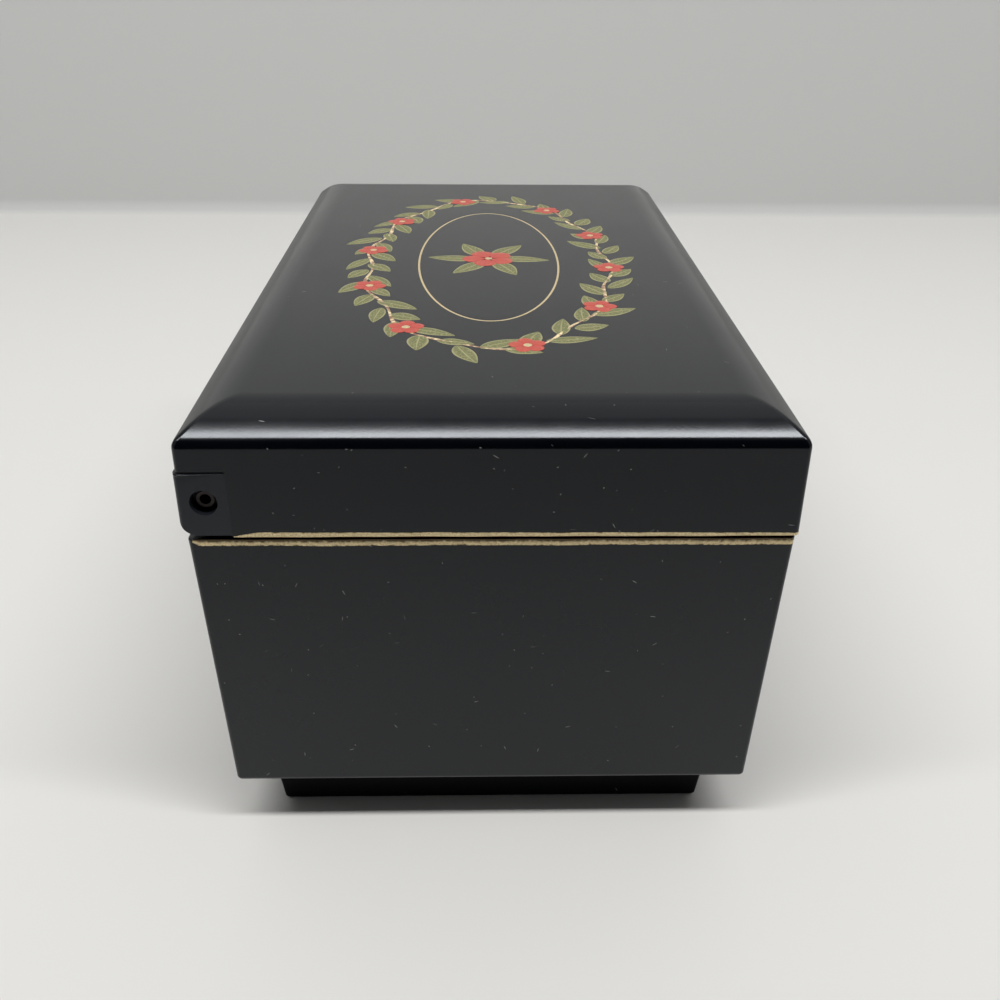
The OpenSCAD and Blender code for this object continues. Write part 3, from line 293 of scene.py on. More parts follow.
def shell(name, points, uv=None, loop=False):
    """A closed mesh of tubes, points[tube, row, column]: quads join neighbouring rows, columns close on
    themselves, and the end rows are closed by flat faces or, in a loop, joined to each other.
    A row runs counter-clockwise for an eye that looks along the rows from the first to the last."""
    tubes, rows, columns = points.shape[:3]
    index = np.arange(tubes * rows * columns).reshape(tubes, rows, columns)
    here, there = (index, np.roll(index, -1, 1)) if loop else (index[:, :-1], index[:, 1:])
    quads = np.stack([here, there, np.roll(there, -1, 2), np.roll(here, -1, 2)], -1).reshape(-1, 4)
    caps = np.zeros((0, columns), int) if loop else np.concatenate([index[:, 0], index[:, -1, ::-1]])
    flat = points.reshape(-1, 3)
    mesh = bpy.data.meshes.new(name)
    mesh.from_pydata(flat.tolist(), [], quads.tolist() + caps.tolist())
    if uv is not None:
        first, second = (uv, np.roll(uv, -1, 1)) if loop else (uv[:, :-1], uv[:, 1:])
        corners = np.stack([first[:, :, :-1], second[:, :, :-1], second[:, :, 1:], first[:, :, 1:]], 3)
        on_caps = flat[caps.reshape(-1), :2]
        layer = mesh.uv_layers.new(name="UVMap")
        layer.data.foreach_set("uv", np.concatenate([corners.reshape(-1, 2), on_caps]).ravel())
    made = bpy.data.objects.new(name, mesh)
    bpy.context.scene.collection.objects.link(made)
    return made


def travelled(points):
    """Distance along a row of points, from its first."""
    return np.concatenate([[0.0], np.cumsum(np.linalg.norm(np.diff(points, axis=0), axis=1))])


def swept(name, half, section, corner, loop=False):
    """A section of (inset, height) points carried round a rounded rectangle. Its map is the distance
    round the rectangle and along the section."""
    rings = ring(half[0] - section[:, 0], half[1] - section[:, 0], section[:, 1], corner)
    round_it = travelled(np.concatenate([rings[0], rings[0, :1]]))
    along = travelled(section)
    uv = np.stack(np.broadcast_arrays(round_it[None, :], along[:, None]), -1)
    return shell(name, rings[None], uv[None], loop)


def prism(name, outline, low, high, axis):
    """A straight bar whose outline, counter-clockwise, is carried along X or Z between two places."""
    outline = np.asarray(outline)
    place = np.array([high, low])[:, None] + np.zeros(len(outline))
    first, second = (np.broadcast_to(outline[:, k], place.shape) for k in (0, 1))
    order = [place, first, second] if axis == "X" else [first, second, place]
    return shell(name, np.stack(order, -1)[None])


def rods(name, centres, radii, low, high, columns=40):
    """Upright round bars, one for each centre, with their own radius and heights."""
    centres = np.asarray(centres)
    angle = np.linspace(0.0, 2 * np.pi, columns, endpoint=False)
    circle = np.stack([np.cos(angle), np.sin(angle)], -1)
    radii, low, high = (np.broadcast_to(a, len(centres)).astype(float) for a in (radii, low, high))
    plan = centres[:, None, :] + radii[:, None, None] * circle
    levels = np.stack([high, low], 1)[:, :, None, None]
    rows = np.broadcast_to(plan[:, None], (len(centres), 2, columns, 2))
    return shell(name, np.concatenate([rows, np.broadcast_to(levels, rows.shape[:3] + (1,))], -1))


def box(low, high):
    """A plain block that cuts or joins another piece."""
    corners = [(low[0], low[1]), (high[0], low[1]), (high[0], high[1]), (low[0], high[1])]
    return prism("tool", corners, low[2], high[2], "Z")


def carve(target, tool, operation):
    """Cuts, joins or keeps what two closed meshes share, and takes the tool away."""
    change = target.modifiers.new("carve", "BOOLEAN")
    change.object = tool
    change.operation = operation
    change.solver = "EXACT"
    seen = target.evaluated_get(bpy.context.evaluated_depsgraph_get())
    carved = bpy.data.meshes.new_from_object(seen)
    target.modifiers.clear()
    used = target.data
    target.data = carved
    carved.name = target.name
    bpy.data.meshes.remove(used)
    bpy.data.meshes.remove(tool.data)


def soften(piece, width, segments=3):
    """Breaks a piece's sharp edges with a small round."""
    bevel = piece.modifiers.new("edges", "BEVEL")
    bevel.width = width
    bevel.segments = segments
    bevel.limit_method = "ANGLE"
    bevel.angle_limit = math.radians(40)
    bevel.harden_normals = True


def level_shading(piece):
    """Keeps wide flat faces flat in the shading next to small rounds."""
    weights = piece.modifiers.new("shading", "WEIGHTED_NORMAL")
    weights.weight = 100
    weights.keep_sharp = True


def dress(piece, body, finish, slot, *nodes):
    """Gives a finished mesh its smooth shading, finish and body, and hides the imported nodes that it
    stands for; its slot is not used.
    """
    mesh = piece.data
    mesh.materials.clear()
    mesh.materials.append(finish)
    mesh.polygons.foreach_set("material_index", np.zeros(len(mesh.polygons), np.int32))
    mesh.polygons.foreach_set("use_smooth", np.ones(len(mesh.polygons), bool))
    mesh.set_sharp_from_angle(angle=math.radians(35))
    mesh.update()
    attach(piece, body)
    if nodes:
        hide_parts(*nodes)
    return piece


def paint_nodes(finish, *nodes):
    """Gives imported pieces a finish."""
    for node in nodes:
        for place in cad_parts[node].material_slots:
            place.material = finish


# Finishes

class Finish:
    """A material with one Principled shader, and short calls that add and link its nodes."""

    def __init__(self, name, **sockets):
        self.material = bpy.data.materials.new(name)
        self.material.use_nodes = True
        self.tree = self.material.node_tree
        self.shader = self.tree.nodes["Principled BSDF"]
        for socket, value in sockets.items():
            self.shader.inputs[socket.replace("_", " ")].default_value = value

    def node(self, kind, inputs, **settings):
        """Adds a node; an input that is a socket is linked, and any other value is set."""
        made = self.tree.nodes.new("ShaderNode" + kind)
        for name, value in settings.items():
            setattr(made, name, value)
        for socket, value in inputs.items():
            if isinstance(value, bpy.types.NodeSocket):
                self.tree.links.new(value, made.inputs[socket])
            else:
                made.inputs[socket].default_value = value
        return made

    def coords(self, kind="Object"):
        """A point's own coordinates in the object, its map or its normal."""
        return self.node("TexCoord", {}).outputs[kind]

    def noise(self, scale, detail=3.0, rough=0.5, vector=None):
        """Noise with features of about one over the scale, in metres."""
        place = vector or self.coords()
        return self.node("TexNoise", {"Vector": place, "Scale": scale, "Detail": detail,
                                      "Roughness": rough}).outputs[0]

    def stretched(self, x, y, z, kind="Object"):
        """Coordinates scaled by their own factor along each axis."""
        return self.node("Mapping", {"Vector": self.coords(kind), "Scale": (x, y, z)}).outputs[0]

    def math(self, operation, first, second=0.0):
        """One sum of two values."""
        return self.node("Math", {0: first, 1: second}, operation=operation).outputs[0]

    def span(self, value, low, high, to_low=0.0, to_high=1.0):
        """Carries a value from one range to another in a straight line, without going past its ends."""
        made = self.node("MapRange", {"Value": value, "From Min": low, "From Max": high,
                                      "To Min": to_low, "To Max": to_high}, clamp=True)
        return made.outputs[0]

    def mix(self, factor, first, second):
        """A colour between two, each a socket or a colour of three numbers."""
        made = self.node("Mix", {0: factor}, data_type="RGBA")
        for place, value in ((6, first), (7, second)):
            if isinstance(value, bpy.types.NodeSocket):
                self.tree.links.new(value, made.inputs[place])
            else:
                made.inputs[place].default_value = (*value, 1.0)
        return made.outputs[2]

    def marks(self, cell, half_long, half_wide, share):
        """Sparse scratches: each cell of a scatter holds one point, an ellipse turned at random round it
        is the mark, and only a share of the cells have one."""
        place = self.coords("UV")
        scatter = self.node("TexVoronoi", {"Vector": place, "Scale": 1.0 / cell},
                            voronoi_dimensions="2D")
        pick = self.node("SeparateColor", {"Color": scatter.outputs["Color"]})
        away = self.node("VectorMath", {0: place, 1: scatter.outputs["Position"]},
                         operation="SUBTRACT")
        angle = self.math("MULTIPLY", pick.outputs[0], 2 * math.pi)
        turned = self.node("VectorRotate", {"Vector": away.outputs[0], "Angle": angle},
                           rotation_type="Z_AXIS")
        scaled = self.node("VectorMath", {0: turned.outputs[0],
                                          1: (1 / half_long, 1 / half_wide, 0.0)},
                           operation="MULTIPLY")
        size = self.node("VectorMath", {0: scaled.outputs[0]}, operation="LENGTH")
        mark = self.span(size.outputs["Value"], 1.0, 0.5)
        chosen = self.math("LESS_THAN", pick.outputs[1], share)
        strength = self.math("MULTIPLY", chosen, pick.outputs[2])
        return self.math("MULTIPLY", mark, strength)

    def relief(self, height, distance, strength=1.0):
        """Puts a height on the shader's normal."""
        bump = self.node("Bump", {"Height": height, "Distance": distance, "Strength": strength})
        self.feed("Normal", bump.outputs[0])

    def feed(self, socket, value):
        """Links a value to an input of the shader."""
        self.tree.links.new(value, self.shader.inputs[socket])


def moulded_plastic(name, colour_of, scuff, low_gloss, high_gloss, share, specular=0.5):
    """Black plastic: smudges vary its gloss, a fine grain its surface, and short scratches are pale,
    fewer on faces that look up."""
    finish = Finish(name, IOR=1.45, Specular_IOR_Level=specular, Specular_Tint=(0.92, 0.96, 1.0, 1.0))
    rise = finish.node("SeparateXYZ", {"Vector": finish.coords("Normal")}).outputs[2]
    patches = finish.span(finish.noise(24.0, 2.0), 0.42, 0.62, 0.3 * share, 2.0 * share)
    some = finish.math("MULTIPLY", patches, finish.span(rise, 0.3, 0.9, 1.0, 0.3))
    scratches = finish.math("MAXIMUM", finish.marks(6.5 * MM, 0.6 * MM, 0.075 * MM, some),
                            finish.marks(3.8 * MM, 0.2 * MM, 0.085 * MM, some))
    smudge = finish.noise(38.0, 4.0, 0.6)
    gloss = finish.span(smudge, 0.3, 0.7, low_gloss, high_gloss)
    finish.feed("Base Color", finish.mix(scratches, colour_of, scuff))
    finish.feed("Roughness", finish.math("MAXIMUM", gloss, finish.math("MULTIPLY", scratches, 0.6)))
    finish.relief(finish.noise(2600.0, 2.0), 0.012 * MM, 0.35)
    return finish.material


def gilding(name, colours, upper=(2.0, 3.0), lower=(-1.0, -2.0)):
    """Gilt paint, speckled and streaked along its line, and made darker between two places of its map at
    the upper edge and at the lower edge; on the lid's line the dark upper edge is a painted shadow line."""
    finish = Finish(name, Metallic=0.5, IOR=1.45)
    place = finish.coords("UV")
    streaks = finish.stretched(420.0, 3.0, 1.0, "UV")
    streak = finish.span(finish.noise(1.0, 4.0, 0.65, streaks), 0.4, 0.75, 0.0, 0.5)
    speck = finish.span(finish.noise(4200.0, 3.0, 0.7), 0.45, 0.7, 0.0, 0.6)
    height = finish.node("SeparateXYZ", {"Vector": place}).outputs[1]
    frayed = finish.math("ADD", height, finish.span(finish.noise(900.0, 4.0, 0.7), 0.3, 0.7, -0.22, 0.22))
    # Darker edges of the line: on the lid's line the upper one is a painted shadow line
    edge = finish.math("MAXIMUM", finish.span(frayed, *upper), finish.span(frayed, *lower))
    worn = finish.math("MAXIMUM", finish.math("MAXIMUM", streak, speck), edge)
    finish.feed("Base Color", finish.mix(worn, colours.gilt, colours.gilt_worn_and_shade))
    finish.feed("Roughness", finish.span(speck, 0.0, 0.5, 0.36, 0.6))
    finish.relief(speck, 0.01 * MM, 0.5)
    return finish.material


def leaf_paint(colours):
    """Olive leaf with a gilt rim and vein; its map is the place along and across the leaf."""
    finish = Finish("leaf_paint", IOR=1.45)
    place = finish.node("SeparateXYZ", {"Vector": finish.coords("UV")})
    across = finish.math("ABSOLUTE", finish.math("SUBTRACT", place.outputs[1], 0.5))
    rim = finish.span(across, 0.36, 0.46)
    vein = finish.span(across, 0.05, 0.02)
    stipple = finish.span(finish.noise(2400.0, 2.0, 0.6), 0.53, 0.62)
    gilt = finish.math("MAXIMUM", finish.math("MAXIMUM", rim, vein),
                       finish.math("MULTIPLY", stipple, 0.75))
    finish.feed("Base Color", finish.mix(gilt, colours.leaf, colours.leaf_rim))
    finish.feed("Roughness", finish.span(gilt, 0.0, 1.0, 0.5, 0.36))
    finish.feed("Metallic", finish.math("MULTIPLY", gilt, 0.35))
    return finish.material


def petal_paint(colours):
    """Red petal with paler strokes that run along it."""
    finish = Finish("petal_paint", IOR=1.45, Roughness=0.38)
    strokes = finish.stretched(2.0, 14.0, 1.0, "UV")
    pale = finish.span(finish.noise(1.0, 3.0, 0.6, strokes), 0.5, 0.68)
    along = finish.node("SeparateXYZ", {"Vector": finish.coords("UV")}).outputs[0]
    tip = finish.math("MULTIPLY", pale, finish.span(along, 0.25, 0.8))
    finish.feed("Base Color", finish.mix(tip, colours.flower, colours.flower_pale))
    return finish.material


def stem_paint(colours):
    """Brown stem with worn gilt on it."""
    finish = Finish("stem_paint", IOR=1.45, Roughness=0.42)
    worn = finish.span(finish.noise(900.0, 3.0), 0.42, 0.62)
    finish.feed("Base Color", finish.mix(worn, colours.stem, colours.gilt))
    return finish.material


def velvet(name, flat, raised):
    """Velvet: patches of brushed pile, a fine fibre relief and a soft sheen."""
    finish = Finish(name, Roughness=0.92, Sheen_Weight=0.7, Sheen_Roughness=0.35,
                    Sheen_Tint=(0.9, 0.35, 0.35, 1.0), IOR=1.35)
    brushed = finish.span(finish.noise(70.0, 4.0, 0.6), 0.35, 0.68)
    fibre = finish.noise(5200.0, 2.0, 0.7)
    pile = finish.math("MULTIPLY", brushed, finish.span(fibre, 0.3, 0.7, 0.6, 1.0))
    finish.feed("Base Color", finish.mix(pile, flat, raised))
    finish.relief(fibre, 0.12 * MM, 0.6)
    return finish.material


def metal(name, colour_of, low_gloss, high_gloss, stretch):
    """Metal with a drawn grain: noise stretched along one axis varies its gloss and colour."""
    finish = Finish(name, Metallic=1.0)
    grain = finish.noise(1.0, 3.0, 0.6, finish.stretched(*stretch))
    stain = finish.noise(160.0, 4.0, 0.6)
    darker = [0.72 * c for c in colour_of]
    finish.feed("Base Color", finish.mix(finish.span(stain, 0.4, 0.75), colour_of, darker))
    finish.feed("Roughness", finish.span(grain, 0.3, 0.7, low_gloss, high_gloss))
    finish.relief(grain, 0.004 * MM, 0.5)
    return finish.material


def white_nylon(colours):
    """Nylon that is a little yellowed in patches."""
    finish = Finish("white_nylon", Roughness=0.45, Subsurface_Weight=0.1)
    old = finish.span(finish.noise(300.0), 0.4, 0.7)
    aged = [0.93 * colours.nylon[0], 0.88 * colours.nylon[1], 0.72 * colours.nylon[2]]
    finish.feed("Base Color", finish.mix(old, colours.nylon, aged))
    return finish.material


def clear_acrylic():
    """Clear sheet with faint rub marks in its gloss."""
    finish = Finish("clear_acrylic", Transmission_Weight=1.0, IOR=1.49,
                    Base_Color=(0.97, 0.98, 0.98, 1.0))
    finish.feed("Roughness", finish.span(finish.noise(220.0, 5.0, 0.7), 0.45, 0.75, 0.01, 0.12))
    return finish.material


def mirror_silver(colours):
    """Silvered glass, with the silver a little clouded in places."""
    finish = Finish("mirror_silver", Metallic=1.0)
    cloud = finish.span(finish.noise(90.0, 5.0, 0.65), 0.62, 0.8)
    dull = [0.8 * c for c in colours.glass]
    finish.feed("Base Color", finish.mix(cloud, colours.glass, dull))
    finish.feed("Roughness", finish.span(cloud, 0.0, 1.0, 0.015, 0.09))
    return finish.material


# Forms of the case and the lid

def rim_height(case):
    """Height of the case's rim."""
    return LID_LOW.z - case.rim_gap


def lid_outside(lid, case):
    """Section of the lid from its flat top to its rim: three arcs, each tangent to the last, and a
    drafted wall. An arc of radius r between the slopes a and b runs out by r (sin b - sin a) and down by
    r (cos a - cos b)."""
    slopes = np.array([0.0, lid.crown_slope, lid.bevel_slope, math.pi / 2])
    sines, steps, edge = np.sin(slopes), 12, case.rim_round
    lower = lid.bevel_radius * (sines[2] - sines[1]) + lid.shoulder * (1.0 - sines[2])
    radii = np.repeat([(lid.bevel_width - lower) / sines[1], lid.bevel_radius, lid.shoulder], steps)
    slope = np.interp(np.arange(3 * steps + 1) / steps, np.arange(4), slopes)
    out = np.append(0.0, np.cumsum(radii * np.diff(np.sin(slope))))
    down = np.append(0.0, np.cumsum(-radii * np.diff(np.cos(slope))))
    return np.concatenate([
        np.stack([lid.flare + lid.bevel_width - out, LID_TOP - down], -1),
        arc((edge, LID_LOW.z + edge), edge, 180, 270, 4),
    ])


def lid_inside(lid, case):
    """Section of the lid's hollow, from its rim to its ceiling."""
    edge = case.rim_round
    inner = lid.thickness - lid.flare
    return np.concatenate([
        arc((inner - edge, LID_LOW.z + edge), edge, 270, 360, 4),
        [(lid.thickness + lid.flare, LID_LOW.z + lid.wall_height - lid.thickness),
         (lid.flare + lid.bevel_width, LID_HIGH.z - lid.thickness)],
    ])


def back_face(lid):
    """Y of the lid's back face at the height of the hinge axis."""
    return AXIS_Y + lid.axis_in


def end_face(lid):
    """X of the lid's end face at the height of the hinge axis."""
    return LID_HIGH.x - lid.flare * (AXIS_Z - LID_LOW.z) / lid.wall_height


def swing_tool(lid, gap, proud=0.0):
    """What a rear lower edge loses: everything under a round of the swing radius. The edge may stand
    out behind the lid."""
    low, under = LID_LOW.z + gap, LID_LOW.z - PAST
    ahead, back = back_face(lid) - lid.block_depth, back_face(lid) + proud
    edge = arc((back - lid.swing, low + lid.swing), lid.swing, 0, -90, 20)
    outline = np.concatenate([
        [(ahead, under), (back + PAST, under), (back + PAST, low + lid.swing)], edge, [(ahead, low)]])
    reach = LID_HALF[0] + PAST
    return prism("tool", outline, -reach, reach, "X")


def corner_tool(lid, side, inner_x, drop=0.0):
    """The block of space at a rear corner of the lid, from inner_x out past the end face; its top may
    drop below the seam."""
    x = sorted([side * inner_x, side * (LID_HALF[0] + PAST)])
    low = (x[0], back_face(lid) - lid.block_depth, LID_LOW.z - PAST)
    return box(low, (x[1], LID_HALF[1] + PAST, AXIS_Z + lid.block_rise - drop))


def hinge_bore(lid, side, radius, depth):
    """A round bore along X from the end face inwards."""
    x = sorted([side * (end_face(lid) - depth), side * (LID_HALF[0] + PAST)])
    return prism("tool", circle((AXIS_Y, AXIS_Z), radius), x[0], x[1], "X")


def rim_path(half, corner, start, end, step):
    """Points and outward directions along a rounded rectangle, evenly spaced between two distances
    from the start of its first corner, and on past its end."""
    line = ring(half[0], half[1], 0.0, corner)[0, :, :2]
    line = np.concatenate([line, line[:1]])
    gone = travelled(line)
    run = np.linspace(start, end, int((end - start) / step))
    place = np.stack([np.interp(run % gone[-1], gone, line[:, k]) for k in (0, 1)], -1)
    tangent = np.gradient(place, axis=0)
    tangent /= np.linalg.norm(tangent, axis=1, keepdims=True)
    return run, place, np.stack([tangent[:, 1], -tangent[:, 0]], -1)


def waver(run, seed):
    """A slow uneven line between -1 and 1: three sines of unlike lengths."""
    waves = np.array([[2.1, 0.45], [5.3, 0.35], [11.9, 0.2]])
    phase = seed * np.array([1.0, 2.3, 4.1])
    return (waves[:, 1] * np.sin(run[:, None] / (waves[:, 0] * MM) + phase)).sum(1)


def ribbon(name, place, outward, low, high, lean, inner=-0.05 * MM, outer=FILM):
    """A band along a wall that leans out by lean[0] for each metre above the height lean[1]: its section
    is a block from low to high and from inner to outer, both measured out from the wall. Its map is the
    distance along the band and the share of its height."""
    heights = np.stack([low, low, high, high], 1)
    offset = np.array([inner, outer, outer, inner]) + lean[0] * (heights - lean[1])
    plan = place[:, None, :] + outward[:, None, :] * offset[..., None]
    share = np.broadcast_to([0.0, 0.0, 1.0, 1.0, 0.0], (len(place), 5))
    uv = np.stack([np.broadcast_to(travelled(place)[:, None], share.shape), share], -1)
    return shell(name, np.concatenate([plan, heights[..., None]], -1)[None], uv[None])


def tube(name, path, outward, radius, squash=1.0, columns=14):
    """A round bead along a path: circles of varying radius across it, flattened along Z by squash."""
    angle = np.linspace(0.0, 2 * np.pi, columns, endpoint=False)
    side = radius[:, None] * np.cos(angle)
    rise = squash * radius[:, None] * np.sin(angle)
    points = path[:, None, :] + outward[:, None, :] * side[..., None]
    points = points + rise[..., None] * np.array([0.0, 0.0, 1.0])
    return shell(name, points[None])


def blades(name, base, angle, long, wide, high, profile, curl, groove, z):
    """Leaves or petals: at u along one, the half width is wide times profile(u), the section is half an
    ellipse on a shallow bed, curl bends the middle line sideways with u squared, and groove sinks it."""
    u = np.linspace(0.015, 0.985, 13)[None, :, None]
    phi = np.linspace(0.0, 2 * np.pi, 16, endpoint=False)[None, None, :]
    base, angle, long, wide, curl, z = (np.asarray(a) for a in (base, angle, long, wide, curl, z))
    long, wide, curl, z = (np.broadcast_to(a, len(base))[:, None, None] for a in (long, wide, curl, z))
    width = profile(u)
    across = wide * width * np.cos(phi) + curl * u ** 2
    vein = 1.0 - groove * np.exp(-(np.cos(phi) / 0.2) ** 2)
    bed = np.where(np.sin(phi) > 0, high * width ** 0.5 * vein, 0.25 * high)
    forward = np.stack([np.cos(angle), np.sin(angle)], -1)[:, None, None, :]
    right = np.stack([np.sin(angle), -np.cos(angle)], -1)[:, None, None, :]
    plan = base[:, None, None, :] + (long * u)[..., None] * forward + across[..., None] * right
    height = np.broadcast_to(z + bed * np.sin(phi), plan.shape[:3])
    wrapped = np.linspace(0.0, 2 * np.pi, 17)[None, None, :]
    uv = np.stack(np.broadcast_arrays(u, 0.5 + 0.5 * np.cos(wrapped)), -1)
    uv = np.broadcast_to(uv, (len(base), *uv.shape[1:]))
    return shell(name, np.concatenate([plan, height[..., None]], -1), uv)


def domes(name, centres, radius, high, z, columns=12):
    """Low round buttons: each row is a circle of radius times sin t at a height of high times cos t."""
    t = np.append(np.linspace(0.12, np.pi / 2, 6), np.pi / 2)[:, None]
    sunk = np.append(np.zeros(6), 0.3)[:, None]
    phi = np.linspace(0.0, 2 * np.pi, columns, endpoint=False)[None, :]
    circle = np.stack(np.broadcast_arrays(radius * np.sin(t) * np.cos(phi),
                                          radius * np.sin(t) * np.sin(phi),
                                          z + high * (np.cos(t) - sunk)), -1)
    shift = np.pad(np.asarray(centres), ((0, 0), (0, 1)))
    return shell(name, circle[None] + shift[:, None, None, :])


def leaf_outline(u):
    """A leaf: widest before its middle and pointed at both ends."""
    return np.sin(np.pi * u ** 0.8) ** 0.85


def petal_outline(u):
    """A petal: narrow at its root and broad near its tip."""
    return np.sin(np.pi * u ** 1.35) ** 0.7


# Operators

class JEWELBOX_OT_stage(Operator):
    """Camera, lamps, cards, surroundings, pale floor and backdrop"""
    bl_idname = "jewelbox.stage"
    bl_label = "Stage"

    def execute(self, context):
        stage, colours = context.scene.jewelbox_stage, context.scene.jewelbox_colours
        self.add_camera(context.scene, stage)
        self.add_light(context.scene, stage, colours)
        self.add_floor(stage, colours)
        context.scene.view_settings.view_transform = "Standard"
        return {"FINISHED"}

    def add_camera(self, scene, stage):
        """The camera looks along +X, down by the pitch and turned by the yaw and the roll."""
        pitch, yaw, roll = stage.pitch, stage.yaw, stage.roll
        ahead = np.array([math.cos(yaw) * math.cos(pitch), -math.sin(yaw) * math.cos(pitch),
                          -math.sin(pitch)])
        right = np.array([-math.sin(yaw), -math.cos(yaw), 0.0])
        up = np.cross(right, ahead)
        right, up = (math.cos(roll) * right + math.sin(roll) * up,
                     math.cos(roll) * up - math.sin(roll) * right)
        data = bpy.data.cameras.new("camera")
        data.sensor_width = 36.0
        data.lens = stage.lens
        data.clip_start = 0.005
        camera = bpy.data.objects.new("camera", data)
        turned = Matrix(np.stack([right, up, -ahead], 1).tolist()).to_4x4()
        camera.matrix_world = Matrix.Translation(stage.camera) @ turned
        scene.collection.objects.link(camera)
        scene.camera = camera

    def add_light(self, scene, stage, colours):
        """A long soft lamp over the camera, a dim panel over the box, a dark card behind the camera, even
        surroundings, and two grey cards beside the far end that only reflections show."""
        self.add_lamp(scene, "soft_lamp", stage.lamp, stage.lamp_along, stage.lamp_across,
                      stage.lamp_power)
        self.add_lamp(scene, "dim_panel", stage.fill, stage.fill_along, stage.fill_across,
                      stage.fill_power)
        world = bpy.data.worlds.new("surroundings")
        world.use_nodes = True
        back = world.node_tree.nodes["Background"]
        back.inputs["Color"].default_value = (0.98, 0.99, 1.0, 1.0)
        back.inputs["Strength"].default_value = stage.sky
        scene.world = world
        x, y, z = stage.flag_x, stage.flag_half, stage.flag_high
        ahead, half = x + stage.flap, stage.flap_half
        corners = [(x, y, 0.0), (x, -y, 0.0), (x, -y, z), (x, y, z),
                   (x, half, z), (x, -half, z), (ahead, -half, z), (ahead, half, z)]
        dull = {"Roughness": 1.0, "Specular_IOR_Level": 0.0}
        black = Finish("card_black", Base_Color=(0.0, 0.0, 0.0, 1.0), **dull)
        flag = self.add_sheet("dark_card", np.array(corners), [(0, 1, 2, 3), (4, 5, 6, 7)], black)
        flag.visible_camera = False
        grey = Finish("card_grey", Base_Color=(*colours.card, 1.0), **dull)
        for side, word in ((-1, "front"), (1, "back")):
            near, far = side * stage.side_near, side * stage.side_far
            corners = [(stage.side_x, near, 0.0), (stage.side_x, far, 0.0),
                       (stage.side_x, far, stage.side_high), (stage.side_x, near, stage.side_high)]
            card = self.add_sheet("side_card_" + word, np.array(corners), [(0, 1, 2, 3)], grey)
            card.visible_camera = False
            card.visible_diffuse = False
            card.visible_shadow = False

    def add_lamp(self, scene, name, spot, along, across, power):
        """A rectangular lamp that looks at the middle of the box."""
        data = bpy.data.lights.new(name, "AREA")
        data.shape = "RECTANGLE"
        data.size, data.size_y = along, across
        data.energy = power
        lamp = bpy.data.objects.new(name, data)
        spot = Vector(spot)
        aim = (Vector((0.0, 0.0, LID_TOP)) - spot).to_track_quat("-Z", "Y")
        lamp.matrix_world = Matrix.Translation(spot) @ aim.to_matrix().to_4x4()
        scene.collection.objects.link(lamp)

    def add_sheet(self, name, points, faces, finish):
        """A sheet of the stage, with its finish."""
        mesh = bpy.data.meshes.new(name)
        mesh.from_pydata(points.tolist(), [], faces)
        mesh.polygons.foreach_set("use_smooth", np.ones(len(mesh.polygons), bool))
        mesh.materials.append(finish.material)
        sheet = bpy.data.objects.new(name, mesh)
        bpy.context.scene.collection.objects.link(sheet)
        return sheet

    def add_floor(self, stage, colours):
        """A sheet that runs flat under the box and turns up behind it in a quarter circle."""
        reach, tall, bend = 3.0, 0.75, 0.008
        profile = np.concatenate([
            [(-reach, 0.0)],
            arc((stage.backdrop_x - bend, bend), bend, -90, 0, 12),
            [(stage.backdrop_x, tall)]])
        across = np.array([-reach, reach])
        x, y = np.broadcast_arrays(profile[:, :1], across[None, :])
        points = np.stack([x, y, np.broadcast_to(profile[:, 1:], x.shape)], -1).reshape(-1, 3)
        row = 2 * np.arange(len(profile) - 1)[:, None]
        finish = Finish("stage_cloth", Roughness=0.9)
        along = finish.node("SeparateXYZ", {"Vector": finish.coords()}).outputs[0]
        behind = finish.span(along, stage.backdrop_x - bend, stage.backdrop_x - 0.3 * bend)
        finish.feed("Base Color", finish.mix(behind, colours.floor, colours.backdrop))
        self.add_sheet("floor", points, (row + [0, 2, 3, 1]).tolist(), finish)


